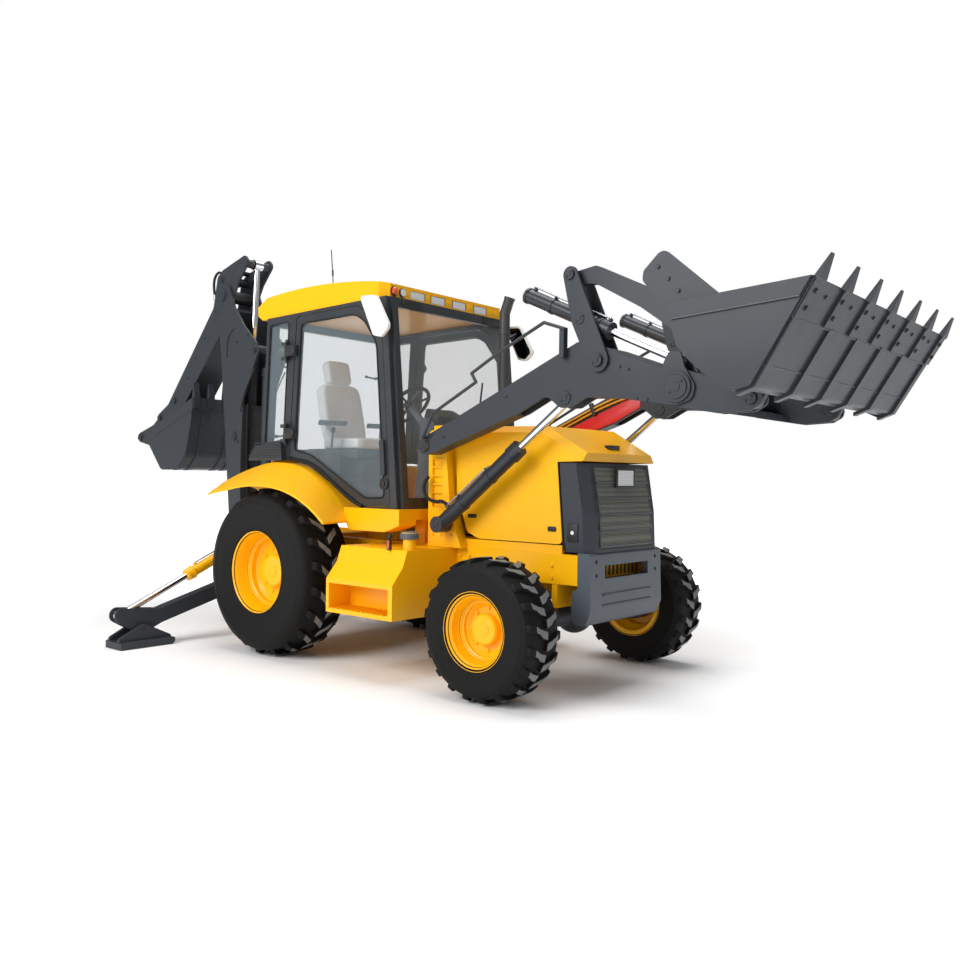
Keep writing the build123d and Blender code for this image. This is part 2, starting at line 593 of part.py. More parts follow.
def cab_glass():
    """Windscreen, rear window and the two fixed quarter panes."""
    half = WINDOW_HALF_W - FIT
    screen = slab([(1187 - 12, 1260.3, 0), (1035 - 12, 2679.7, 0), (1035 - 18, 2679.7, 0), (1187 - 18, 1260.3, 0)],
                  -half, half)
    rear = slab([(-453, 1640.3, 0), (-392, 2659.7, 0), (-386, 2659.7, 0), (-447, 1640.3, 0)], -half, half)
    quarter = slab(grown(QUARTER_ROWS, -FIT), CAB_HALF_W - 20, CAB_HALF_W - 20 + GLASS)
    return group(screen, rear, quarter, mirrored(quarter))


def cab_door(side):
    """Rear-hinged door frame with its knuckles; side is -1 on the right, +1 on the left."""
    leaf = slab(DOOR_ROWS, CAB_HALF_W - 36, CAB_HALF_W - 2) - slab(DOOR_GLASS_ROWS, *CAB_CUT)
    for z in (2425, 1755):
        knuckle_z = 46 - FIT
        strap = block(HINGE_X, HINGE_X + 120, CAB_HALF_W + 4, HINGE_Y + 14, z - knuckle_z + 2, z + knuckle_z - 2)
        foot = block(HINGE_X + 85, HINGE_X + 120, CAB_HALF_W - 3, HINGE_Y, z - knuckle_z + 2, z + knuckle_z - 2)
        strap = fused(strap, foot)
        eye = fused(strap, rod_z((HINGE_X, HINGE_Y), 16, z - knuckle_z + 2, z + knuckle_z - 2))
        leaf = fused(leaf, eye)
    leaf = leaf - rod_z((HINGE_X, HINGE_Y), 10 + FIT, 1600, 2600)
    handle = slab([(1010, 1420, 20), (1055, 1420, 20), (1032, 1690, 20), (987, 1690, 20)],
                  CAB_HALF_W - 3, CAB_HALF_W + 22)
    leaf = fused(leaf, handle)
    return leaf if side > 0 else mirrored(leaf)


def door_glass(side):
    pane = slab(grown(DOOR_GLASS_ROWS, -FIT), CAB_HALF_W - 22, CAB_HALF_W - 22 + GLASS)
    return pane if side > 0 else mirrored(pane)


def cab_roof():
    """Crowned roof with a recess for the work lamps in its front edge."""
    top = ThreePointArc((985, 2862), (270, 2928), (-440, 2902))
    tail = Polyline((-440, 2902), (-565, 2835), (-560, 2760), (-500, 2720.4), (985, 2751.6), (985, 2862))
    half = CAB_HALF_W - 15
    body = slab(make_face([top] + list(tail.edges())), -half, half)
    corners = body.edges().filter_by(Axis.Z).filter_by(lambda e: e.center().X > 900)
    body = chamfer(corners, 60)
    half = CAB_HALF_W - 60
    hollow = slab([(900, 2700, 0), (900, 2835, 0), (-400, 2880, 0), (-480, 2700, 0)], -half, half)
    hollow = hollow & block(-600, 1100, -half, half, 2753.5, 2900)
    body = body - hollow
    return body - block(945, 1000, -430, 610, 2775, 2838)


FENDER_IN = [((-930, 1345), (-670, 1430), (-400, 1495)), ((-400, 1495), (-145, 1518), (155, 1475)),
             ((155, 1475), (440, 1322), (680, 1075))]
FENDER_OUT = [((-680, 1252), (-545, 1277), (-410, 1294)), ((-410, 1294), (-145, 1333), (163, 1330)),
              ((163, 1330), (560, 1225), (798, 1076))]


def fender_section(arcs, y):
    """Closed strip of sheet under three arcs, at y."""
    def moved(p):
        return (p[0] - 10, p[1] - FENDER_SHEET)
    top = [ThreePointArc(a, m, b) for a, m, b in arcs]
    under = [ThreePointArc(moved(b), moved(m), moved(a)) for a, m, b in reversed(arcs)]
    front = Line(arcs[-1][2], moved(arcs[-1][2]))
    back = Line(moved(arcs[0][0]), arcs[0][0])
    return Plane.XZ.offset(-y) * make_face(top + [front] + under + [back])


def arch_wall():
    """Inner wall of a wheel arch, up into the middle of the arch's sheet."""
    def lowered(p):
        return (p[0] - 5, p[1] - FENDER_SHEET / 2)
    top = [ThreePointArc(lowered(a), lowered(m), lowered(b)) for a, m, b in FENDER_IN]
    ends = [lowered(FENDER_IN[-1][2]), (610, 1126), (-480, 1126), (-700, 1290), lowered(FENDER_IN[0][0])]
    return slab(make_face(top + list(Polyline(*ends).edges())), ARCH_Y - 20, ARCH_Y)


def cab_base():
    """Yellow cab floor with its sills, wheel arches and rear fenders."""
    floor = block(-480, 1240, -ARCH_Y, ARCH_Y, FLOOR_Z - 45, FLOOR_Z)
    inner = fender_section(FENDER_IN, ARCH_Y - 20)
    middle = fender_section(FENDER_IN, FENDER_Y)
    outer = fender_section(FENDER_OUT, FENDER_LIP_Y)
    arch = loft([inner, middle], ruled=True) + loft([middle, outer], ruled=True)
    arch = arch + arch_wall()
    sill = slab([(700, 1010, 30), (1085, 1010, 30), (1240, 1060, 20), (1240, SILL_TOP, 0), (640, SILL_TOP, 0),
                 (640, 1110, 0)], ARCH_Y - 5, SILL_Y)
    foot = block(820, 940, ARCH_Y - 100, ARCH_Y + 60, 925, 1015)
    side = fused(arch, sill)
    base = fused(floor, side, mirrored(side))
    back = block(-480, -460, -ARCH_Y, ARCH_Y, 1130, 1560 - FIT)
    front = block(1160, 1240, -ARCH_Y, ARCH_Y, 1100, SILL_TOP)
    base = fused(base, back, front)
    mounts = [block(x0, x0 + 100, y0, y0 + 90, RAIL_TOP + FIT, FLOOR_Z - 44)
              for x0 in (-340, 1100) for y0 in (-460, 370)]
    return fused(base, *mounts)


def seat():
    """Seat pedestal, cushion, back and headrest."""
    base = block(-220, 140, -150, 150, FLOOR_Z + FIT, 1601)
    cushion = fillet(block(-290, 200, -245, 245, 1600, 1730).edges(), 30)
    back = slab([(-205, 1700, 30), (-330, 2200, 50), (-405, 2190, 40), (-310, 1690, 30)], -230, 230)
    rest = slab([(-310, 2230, 30), (-340, 2430, 40), (-405, 2420, 40), (-385, 2225, 30)], -130, 130)
    neck = bar((-362, 40, 2150), (-362, 40, 2300), 10) + bar((-362, -40, 2150), (-362, -40, 2300), 10)
    return fused(base, cushion, back, neck, rest)


def controls():
    """Front console with the steering wheel, and the rear console with the backhoe levers."""
    console = slab([(800, FLOOR_Z + FIT, 0), (1080, FLOOR_Z + FIT, 0), (1000, 1850, 30), (860, 1900, 40)], -170, 170)
    column = bar((880, 0, 1700), (560, 0, 2010), 30)
    plane = Plane((560, 0, 2010), z_dir=(-320, 0, 310))
    wheel = plane * (Torus(185, 13) + Box(360, 30, 12) + Cylinder(45, 30))
    rear = block(-450, -340, -150, 150, FLOOR_Z + FIT, 1560)
    side = slab([(-330, FLOOR_Z + FIT, 0), (60, FLOOR_Z + FIT, 0), (40, 1640, 40), (-250, 1640, 40)], -420, -300)
    levers = [bar((0, -360, 1620), (20, -360, 1790), 9)]
    return group(fused(console, column, wheel), rear, fused(side, *levers))


def step_boxes():
    """Tank and battery boxes with a step let into each; the right one carries the filler neck."""
    inner = -RAIL_Y - RAIL_W / 2 - FIT
    rows = [(inner, 910), (-960, 910), (-1000, 800), (-1100, 680), (-1100, 440), (inner, 440)]
    face = Polygon(*rows, align=None)
    box = extrude(Plane.YZ.offset(840) * face, 680, dir=(1, 0, 0))
    recess = block(870, 1480, -1101, -900, 470, 650)
    box = box - recess
    neck = rod_z((1450, -870), 45, 905, 985)
    cap = rod_z((1450, -870), 58, 985, 1030)
    right = fused(box, neck, cap)
    return group(right, mirrored(box))


def mirrors():
    """Outside mirrors on their arms."""
    head = slab([(890, 2740, 20), (1060, 2730, 60), (1205, 2490, 40), (1120, 2420, 40), (1040, 2440, 30)],
                CAB_HALF_W + 115, CAB_HALF_W + 142)
    arm = bar((995, CAB_HALF_W + 15, 2600), (1010, CAB_HALF_W + 128, 2660), 12)
    foot = block(975, 1015, CAB_HALF_W + FIT, CAB_HALF_W + 25, 2560, 2640)
    side = fused(head, arm, foot)
    return both(side)


def lamps():
    """Roof work lamps, corner lamps, side lamps on the cowl and the lamp above the grille."""
    solids = []
    for y in (-350, -120, 130, 390):
        solids.append(block(945 + FIT, 982, y - 75, y + 75, 2778, 2835))
    for y in (-605, -520):
        solids.append(rod_x((y, 2805), 28, 985.3, 1000))
    solids.append(block(cowl_x(1387) + 16.9, cowl_x(1387) + 36, -100, 100, 1375, 1480))
    for side in (-1, 1):
        low, high = sorted((side * (COWL_HALF_W - 9), side * COWL_HALF_W))
        solids.append(slab(grown(SIDE_LAMP, -FIT), low, high))
    return group(*solids)


# ================================================================ loader
ARM_ROWS = [(1330, 1590, 40), (1418, 1577, 40), (2231, 1844, 0), (2455, 1950, 60), (2560, 1868, 40),
            (2650, 1868, 40), (2760, 1925, 60), (2982, 1914, 0), (3380, 1850, 40), (3480, 1880, 60),
            (3500, 1960, 60), (3430, 2075, 40), (3405, 2165, 30), (3325, 2165, 30), (3290, 2090, 0),
            (2978, 2204, 0), (2698, 2278, 60), (2227, 2072, 0), (1437, 1732, 0), (1340, 1700, 40)]
NOSE_ROWS = [(3330, 1850, 0), (3640, 1797, 60), (3824, 1806, 40), (3886, 1840, 40), (3896, 1890, 40),
             (3850, 1948, 40), (3600, 1995, 40), (3420, 2060, 0)]


def loader_arm_side():
    """One arm: two plates held apart, open below where the lift rod enters and at the nose."""
    low, high = ARM_Y - ARM_W / 2, ARM_Y + ARM_W / 2
    arm = slab(ARM_ROWS, low, high)
    hollow = offset(face_xz(ARM_ROWS), -ARM_PLATE, kind=Kind.INTERSECTION)
    arm = arm - slab(hollow, low + ARM_PLATE, high - ARM_PLATE)
    mouth = slab([(2180, 1700, 0), (2800, 1700, 0), (2800, 1960, 0), (2650, 2120, 0), (2200, 1890, 0)],
                 low + ARM_PLATE, high - ARM_PLATE)
    crown = slab([(3300, 2000, 0), (3300, 2300, 0), (3560, 2300, 0), (3560, 1700, 0), (3470, 1700, 0),
                  (3470, 2000, 0)], low + ARM_PLATE, high - ARM_PLATE)
    arm = arm - mouth - crown
    nose_plates = []
    for inner in (low + ARM_PLATE - 0.0, high - 2 * ARM_PLATE):
        nose_plates.append(slab(NOSE_ROWS, inner, inner + ARM_PLATE))
    arm = fused(arm, *nose_plates)
    arm = fused(arm, rod_y(CROSS_TUBE, 90, low - 10, high + 14))
    arm = fused(arm, rod_y_mid(ARM_PIVOT, 62, ARM_Y, ARM_W))
    arm = arm - rod_y_mid(ARM_PIVOT, ARM_PIN_R + FIT, ARM_Y, ARM_W + 40)
    arm = fused(arm, rod_y_mid(BUCKET_PIN, PIN_R, ARM_Y, ARM_W - 20))
    arm = fused(arm, rod_y(BELL_PIVOT, PIN_R, low - 34, high + 34))
    return arm


GUARD_Y, GUARD_R = 700.0, 11.0
GUARD_BENDS = [(1399, 1700), (1492, 1866), (1893, 2065), (1853, 2127), (2100, 2255), (2460, 2413), (2615, 2360)]


def arm_guard():
    """Bent round bar along the outside of an arm, on a stub at its rear and a strut near the bellcrank."""
    face = ARM_Y + ARM_W / 2
    stub = rod_y(GUARD_BENDS[0], GUARD_R, face - 5, GUARD_Y)
    strut = block(2580, 2615, face + 2, GUARD_Y, 2180, 2370)
    foot = block(2580, 2615, face - 5, GUARD_Y, 2180, 2222)
    parts = [stub, strut, foot]
    for (x0, z0), (x1, z1) in zip(GUARD_BENDS, GUARD_BENDS[1:]):
        parts.append(bar((x0, GUARD_Y, z0), (x1, GUARD_Y, z1), GUARD_R))
    for x, z in GUARD_BENDS:
        parts.append(Pos(x, GUARD_Y, z) * Sphere(GUARD_R))
    return fused(*parts)


def loader_arm():
    side = fused(loader_arm_side(), arm_guard())
    low = ARM_Y - ARM_W / 2
    tube = rod_y(CROSS_TUBE, 80, -low - 5, low + 5)
    box = slab([(3400, 1850, 0), (3560, 1815, 0), (3560, 1850, 0), (3400, 1900, 0)], -low - 20, low + 20)
    return fused(side, mirrored(side), tube, box)


def bellcrank_side():
    """Pair of bellcrank plates either side of one arm, with their trunnion caps and top pin."""
    rows = link_face([BELL_PIVOT, BELL_TRUNNION, BELL_TOP], [72, 62, 52])
    gap = ARM_W / 2 + SIDE_GAP
    plates = [slab(rows, ARM_Y + gap, ARM_Y + gap + ARM_PLATE), slab(rows, ARM_Y - gap - ARM_PLATE, ARM_Y - gap)]
    body = fused(*[plate - rod_y_mid(BELL_PIVOT, PIN_R + FIT, ARM_Y, 400) for plate in plates])
    body = body - rod_y_mid(BELL_TRUNNION, 22 + FIT, ARM_Y, 400)
    return fused(body, rod_y_mid(BELL_TOP, PIN_R, ARM_Y, 2 * gap + 2 * ARM_PLATE + 16))


def tilt_barrel_side():
    plane = side_plane(BELL_TRUNNION, TILT_EYE, ARM_Y)
    barrel = make_barrel(plane, -TILT_TAIL, TILT_NOSE, TILT_BARREL_R, TILT_ROD_R, 0, 0, 0, -TILT_TAIL + 30)
    gap = ARM_W / 2 + SIDE_GAP
    for side in (-1, 1):
        low, high = sorted((ARM_Y + side * (TILT_BARREL_R - 10), ARM_Y + side * (gap + ARM_PLATE)))
        barrel = fused(barrel, rod_y(BELL_TRUNNION, 22, low, high))
    return barrel - (plane * local_bar(-TILT_TAIL + 30, TILT_NOSE + 1, TILT_ROD_R + FIT))


def tilt_rod_side():
    plane = side_plane(BELL_TRUNNION, TILT_EYE, ARM_Y)
    return make_rod(plane, TILT_ROD_START, distance(BELL_TRUNNION, TILT_EYE), TILT_ROD_R, 42, 60, PIN_R)


def lift_barrel_side():
    plane = side_plane(LIFT_BASE, LIFT_EYE, ARM_Y)
    return make_barrel(plane, 0, LIFT_BARREL_LEN, LIFT_BARREL_R, LIFT_ROD_R, 58, 2 * LIFT_BARREL_R + 4, PIN_R, 80)


def lift_rod_side():
    plane = side_plane(LIFT_BASE, LIFT_EYE, ARM_Y)
    return make_rod(plane, LIFT_ROD_START, distance(LIFT_BASE, LIFT_EYE), LIFT_ROD_R, 44, 60, PIN_R)


def banana_link_side():
    """Curved link from the bellcrank's top pin over the arm to the bucket."""
    rows = [(BELL_TOP[0] - 40, BELL_TOP[1] + 20, 30), (2800, 2745, 60), (3180, 2560, 120), (3420, 2350, 80),
            (3572, 2140, 40), (3550, 2082, 30), (3490, 2082, 30), (3455, 2150, 60), (3330, 2300, 80), (3120, 2450, 120),
            (2800, 2630, 60), (BELL_TOP[0] - 20, 2655, 30)]
    body = slab_mid(rows, ARM_Y, 56)
    return body - rod_y_mid(BELL_TOP, PIN_R + FIT, ARM_Y, 60) - rod_y_mid(BUCKET_LINK_PIN, PIN_R, ARM_Y, 60)


CHEEK_ROWS = [(3570, 2343, 0), (3641, 2115, 0), (3720, 2030, 60), (3862, 1905, 60), (3945, 1866, 40),
              (4044, 1889, 40), (4350, 2390, 0)]
CHEEK_STRIP = [(3576, 2343.4, 0), (4344, 2389.6, 0), (4290, 2302, 0), (3602, 2260, 0)]
BUCKET_HEEL, BUCKET_LIP = (4044.0, 1889.0), (4350.0, 2390.0)
EDGE_DEPTH = 212.0
TOOTH_W, TOOTH_TIP_W, TOOTH_LEN = 84.0, 30.0, 125.0
WEAR_STRIPS = (52 - BUCKET_HALF_W, -620, -210, 210, 620, BUCKET_HALF_W - 52)
WRAPPER_ROWS = [(3570, 2343, 0), (3668, 2125, 0), (3750, 2052, 60), (3885, 1935, 60), (3950, 1880, 40),
                (4044, 1889, 40), (4350, 2390, 0)]


def loader_bucket():
    """General-purpose bucket: wrapper, side plates, wings, spill guard, edge, teeth and hinge lugs."""
    inside = BUCKET_HALF_W - BUCKET_PLATE
    outer = slab(WRAPPER_ROWS, -inside - 1, inside + 1)
    outer = fused(outer, slab(CHEEK_ROWS, inside, BUCKET_HALF_W), slab(CHEEK_ROWS, -BUCKET_HALF_W, -inside))
    mouth = [(3590, 2349, 0), (3684, 2135, 0), (3761, 2065, 60), (3895, 1949, 50), (3955, 1898, 30),
             (4034, 1905, 30), (4330, 2390, 0), (4330, 2500, 0), (3590, 2500, 0)]
    body = outer - slab(mouth, -inside, inside)
    wing = slab([(3585, 2300, 0), (3435, 2480, 30), (3440, 2530, 30), (3555, 2637, 50), (3866, 2369, 0),
                 (3800, 2300, 0)], BUCKET_HALF_W - BUCKET_PLATE, BUCKET_HALF_W)
    guard = slab([(3573, 2330, 0), (3500, 2470, 0), (3516, 2478, 0), (3590, 2330, 0)],
                 -BUCKET_HALF_W + 5, BUCKET_HALF_W - 5)
    body = fused(body, wing, mirrored(wing), guard)
    cheek_strip = slab(CHEEK_STRIP, BUCKET_HALF_W - 2, BUCKET_HALF_W + 9)
    edge_plate = floor_slab([(-EDGE_DEPTH, -3), (-EDGE_DEPTH, 9), (-2, 9), (-2, -3)], 0, 2 * inside + 4)
    body = fused(body, cheek_strip, mirrored(cheek_strip), edge_plate)
    for row in range(BUCKET_TEETH):
        y = -BUCKET_HALF_W + 60 + row * (2 * BUCKET_HALF_W - 120) / (BUCKET_TEETH - 1)
        body = fused(body, *loader_tooth(y))
    for y in WEAR_STRIPS:
        strip = slab([(3962, 1846, 0), (4062, 1884, 0), (4258, 2208, 0), (4244, 2218, 0), (4050, 1900, 0),
                      (3962, 1868, 0)], y - 30, y + 30)
        body = fused(body, strip)
    for side in (-1, 1):
        body = fused(body, bucket_lug(side * ARM_Y))
    return body


def floor_slab(rows, y_mid, width):
    """Slab whose rows are distance from the lip along the floor, and depth below the floor's outer face."""
    (x0, z0), (x1, z1) = BUCKET_HEEL, BUCKET_LIP
    run = distance(BUCKET_HEEL, BUCKET_LIP)
    ux, uz = (x1 - x0) / run, (z1 - z0) / run
    return slab_mid([(x1 + ux * s + uz * t, z1 + uz * s - ux * t, 0) for s, t in rows], y_mid, width)


def loader_tooth(y):
    """Bar under the cutting edge and the wedge tooth that runs out from it, narrower towards its tip."""
    shank = floor_slab([(-EDGE_DEPTH + 8, 4), (-EDGE_DEPTH + 8, 25), (0, 25), (0, 4)], y, TOOTH_W - 4)
    wedge = floor_slab([(-14, -3), (-14, 31), (4, 31), (TOOTH_LEN, 9), (TOOTH_LEN, 1), (4, -3)], y, TOOTH_W + 10)
    run = Vector(BUCKET_LIP[0] - BUCKET_HEEL[0], 0, BUCKET_LIP[1] - BUCKET_HEEL[1])
    plane = Plane((BUCKET_LIP[0], y, BUCKET_LIP[1]), x_dir=run, z_dir=run.cross(Vector(0, 1, 0)))
    half, tip = TOOTH_W / 2, TOOTH_TIP_W / 2
    plan = Polygon((-30, -half), (4, -half), (TOOTH_LEN + 1, -tip), (TOOTH_LEN + 1, tip), (4, half), (-30, half),
                   align=None)
    taper = plane * (Pos(0, 0, -100) * extrude(plan, 200, dir=(0, 0, 1)))
    return shank, wedge & taper


def bucket_lug(y):
    """Hinge lug between the arm's nose plates, with the ears for the link above it."""
    gap = ARM_W / 2 - 2 * ARM_PLATE - 4
    lug = slab(link_face([BUCKET_PIN, (3898, 1945), (3762, 2068)], [62, 20, 20]), y - gap, y + gap)
    lug = lug - rod_y_mid(BUCKET_PIN, PIN_R + FIT, y, 200)
    ears = []
    for low in (y - 50, y + 34):
        ears.append(slab(link_face([BUCKET_LINK_PIN, (3672, 2130), (3630, 2225)], [48, 10, 10]), low, low + ARM_PLATE))
        cap = low - 8 if low < y else low + ARM_PLATE
        ears.append(rod_y(BUCKET_LINK_PIN, PIN_R, cap, cap + 8))
    return fused(lug, *ears)


# ================================================================ backhoe
def swing_frame():
    """Casting that swings on the rear frame and carries the boom and its cylinder."""
    x = SWING_X
    post = rod_z((x, 0), 84, 445 + FIT, 860 - FIT)
    post = fused(post, rod_z((x, 0), SWING_PIN_R, 380, 930))
    web = slab([(x - 60, 460, 0), (-1528, 560, 0), (-1528, 760, 0), (-1500, 845, 0), (x - 40, 845, 0)], -100, 100)
    body = fused(post, web)
    ear_face = link_face([BOOM_BASE, (-1490, 600), (-1490, 800)], [72, 30, 30])
    inner = BOOM_HALF_W + SIDE_GAP
    for side in (-1, 1):
        low, high = sorted((side * inner, side * (inner + 30)))
        body = fused(body, slab(ear_face, low, high))
        body = fused(body, block(-1520, -1470, *sorted((side * 60, side * (inner + 30))), 580, 820))
    body = fused(body, rod_y_mid(BOOM_BASE, HOE_PIN_R, 0, 2 * inner + 60 + 20))
    ear = [(-1520, 700, 0), (-1520, 860, 40), (-1440, 1050, 50), (-1330, 1050, 50), (-1320, 930, 20),
           (-1430, 925, 20), (-1425, 700, 0)]
    for side in (-1, 1):
        low, high = sorted((side * 75, side * 100))
        body = fused(body, slab(ear, low, high))
    return fused(body, rod_y_mid(BOOM_CYL_BASE, HOE_PIN_R, 0, 222))


BOOM_ROWS = [(-1700, 640, 60), (-1620, 580, 60), (-1545, 640, 60), (-1556, 1550, 200), (-1530, 2150, 200),
             (-1300, 2570, 40), (-1330, 2670, 40), (-1529, 2850, 60), (-1690, 3050, 60), (-1780, 3260, 80),
             (-1884, 3290, 90), (-1975, 3250, 80), (-1990, 3120, 60), (-1900, 2586, 120), (-1790, 1550, 200)]


def boom():
    """Boom of two plates with closing webs, forked at the dipper and open for its cylinders."""
    outer = slab(BOOM_ROWS, -BOOM_HALF_W, BOOM_HALF_W)
    inner_face = offset(face_xz(BOOM_ROWS), -BOOM_PLATE, kind=Kind.INTERSECTION)
    inside = BOOM_HALF_W - BOOM_PLATE
    body = outer - slab(inner_face, -inside, inside)
    front_mouth = slab([(-1620, 2330, 0), (-1620, 3400, 0), (-1200, 3400, 0), (-1200, 1900, 0), (-1500, 1900, 0)],
                       -inside, inside)
    top_mouth = slab([(-1500, 2700, 0), (-2100, 2560, 0), (-2100, 3400, 0), (-1500, 3400, 0)], -inside, inside)
    body = body - front_mouth - top_mouth
    body = body - rod_y_mid(BOOM_BASE, HOE_PIN_R + FIT, 0, 400)
    for point, radius in ((BOOM_BASE, 60),):
        tube = rod_y_mid(point, radius, 0, 2 * inside + 2) - rod_y_mid(point, HOE_PIN_R + FIT, 0, 400)
        body = fused(body, tube)
    body = fused(body, rod_y_mid(DIPPER_CYL_BASE, HOE_PIN_R, 0, 2 * BOOM_HALF_W + 16))
    for side in (-1, 1):
        low, high = sorted((side * 71, side * (BOOM_HALF_W + 8)))
        body = fused(body, rod_y(DIPPER_CYL_BASE, 46, low, high))
        low, high = sorted((side * 60, side * (BOOM_HALF_W + 14)))
        body = fused(body, rod_y(BOOM_CYL_EYE, 40, low, high))
        body = fused(body, rod_y(DIPPER_PIVOT, 60, sorted((side * BOOM_HALF_W, side * (BOOM_HALF_W + 12)))[0],
                                 sorted((side * BOOM_HALF_W, side * (BOOM_HALF_W + 12)))[1]))
    return fused(body, rod_y_mid(DIPPER_PIVOT, HOE_PIN_R, 0, 2 * BOOM_HALF_W))


def dipper():
    """Dipper arm of two plates with the box between them, long tail for its cylinder."""
    axis_point = DIPPER_TIP
    left_top = (-2015, 3300)
    rows = [(-1560, 3540, 50), (-1500, 3470, 50), (-1660, 3300, 0), (-1790, 3080, 100), (-1850, 2930, 0),
            (-2560, 2170, 0), (-2870, 1850, 60), (-2960, 1830, 70), (-3020, 1900, 70), (-2985, 2060, 60),
            (-2085, 3080, 100), (-2020, 3380, 60), (-1930, 3440, 60)]
    outer = slab(rows, -DIPPER_HALF_W, DIPPER_HALF_W)
    inner_face = offset(face_xz(rows), -DIPPER_PLATE, kind=Kind.INTERSECTION)
    inside = DIPPER_HALF_W - DIPPER_PLATE
    body = outer - slab(inner_face, -inside, inside)
    back_mouth = slab([(-1870, 3400, 0), (-2110, 3500, 0), (-3200, 2200, 0), (-3100, 1960, 0), (-2960, 1985, 0),
                       (-2860, 2000, 0), (-2700, 2170, 0), (-2030, 2950, 0)], -inside, inside)
    tail_mouth = slab([(-1870, 3230, 0), (-1870, 3600, 0), (-1400, 3600, 0), (-1400, 3000, 0), (-1800, 3000, 0)],
                      -inside, inside)
    body = body - back_mouth - tail_mouth
    tube = rod_y_mid(DIPPER_PIVOT, 62, 0, 2 * inside + 2)
    body = fused(body, tube) - rod_y_mid(DIPPER_PIVOT, HOE_PIN_R + FIT, 0, 400)
    body = fused(body, rod_y_mid(BUCKET_CYL_BASE, HOE_PIN_R, 0, 2 * DIPPER_HALF_W + 24))
    body = fused(body, rod_y_mid(ROCKER_PIVOT, HOE_PIN_R, 0, 2 * DIPPER_HALF_W + 16))
    tip = rod_y_mid(DIPPER_TIP, 62, 0, 2 * DIPPER_HALF_W) - rod_y_mid(DIPPER_TIP, HOE_PIN_R + FIT, 0, 400)
    body = body - rod_y_mid(DIPPER_TIP, HOE_PIN_R + FIT, 0, 400)
    for side in (-1, 1):
        low, high = sorted((side * 65, side * (DIPPER_HALF_W + 5)))
        body = fused(body, rod_y(BUCKET_CYL_BASE, 42, low, high))
        low, high = sorted((side * 60, side * (DIPPER_HALF_W + 5)))
        body = fused(body, rod_y(DIPPER_CYL_EYE, 40, low, high))
    return fused(body, tip)


HOE_CYLINDERS = {
    # name: base, eye, barrel length, rod start, barrel radius, rod radius, eye radius
    "boom": (BOOM_CYL_BASE, BOOM_CYL_EYE, 1440.0, 200.0, 64.0, 34.0, 52.0),
    "dipper": (DIPPER_CYL_BASE, DIPPER_CYL_EYE, 930.0, 750.0, 60.0, 32.0, 50.0),
    "hoe_bucket": (BUCKET_CYL_BASE, ROCKER_END, 1030.0, 780.0, 54.0, 30.0, 48.0),
}


def hoe_barrel(name):
    base, eye, length, _, radius, rod_r, eye_r = HOE_CYLINDERS[name]
    return make_barrel(side_plane(base, eye, 0), 0, length, radius, rod_r, eye_r, 2 * radius + 8, HOE_PIN_R, 75)


def hoe_rod(name):
    base, eye, _, start, _, rod_r, eye_r = HOE_CYLINDERS[name]
    return make_rod(side_plane(base, eye, 0), start, distance(base, eye), rod_r, eye_r, 90, HOE_PIN_R)


def rocker():
    """Two rocker plates on the dipper, joined across the dipper's face, with stub pins for the link."""
    face = link_face([ROCKER_PIVOT, ROCKER_END], [52, 48])
    body = []
    for side in (-1, 1):
        low, high = sorted((side * 98, side * 120))
        body.append(slab(face, low, high) - rod_y_mid(ROCKER_PIVOT, HOE_PIN_R + FIT, 0, 300))
        low, high = sorted((side * 58, side * 132))
        body.append(rod_y(ROCKER_END, ROCKER_PIN_R, low, high))
    return fused(body[0], body[1]), fused(body[2], body[3])


def bucket_link():
    """Two link plates from the rocker's end to the bucket, joined by a tube at the bucket's end."""
    face = link_face([ROCKER_END, HOE_LINK_PIN], [48, 48])
    body = []
    for side in (-1, 1):
        low, high = sorted((side * 62, side * 92))
        body.append(slab(face, low, high))
    joined = fused(*body, rod_y_mid(HOE_LINK_PIN, 48, 0, 2 * (DIPPER_HALF_W - 2)))
    joined = joined - rod_y_mid(HOE_LINK_PIN, HOE_PIN_R, 0, 320)
    return joined - rod_y_mid(ROCKER_END, ROCKER_PIN_R + FIT, 0, 300)


HOE_ROWS = [(-2210, 2178, 0), (-2225, 1950, 200), (-2330, 1600, 160), (-2480, 1460, 100), (-2780, 1450, 100),
            (-3010, 1700, 60), (-3060, 1790, 0), (-2960, 1880, 0)]


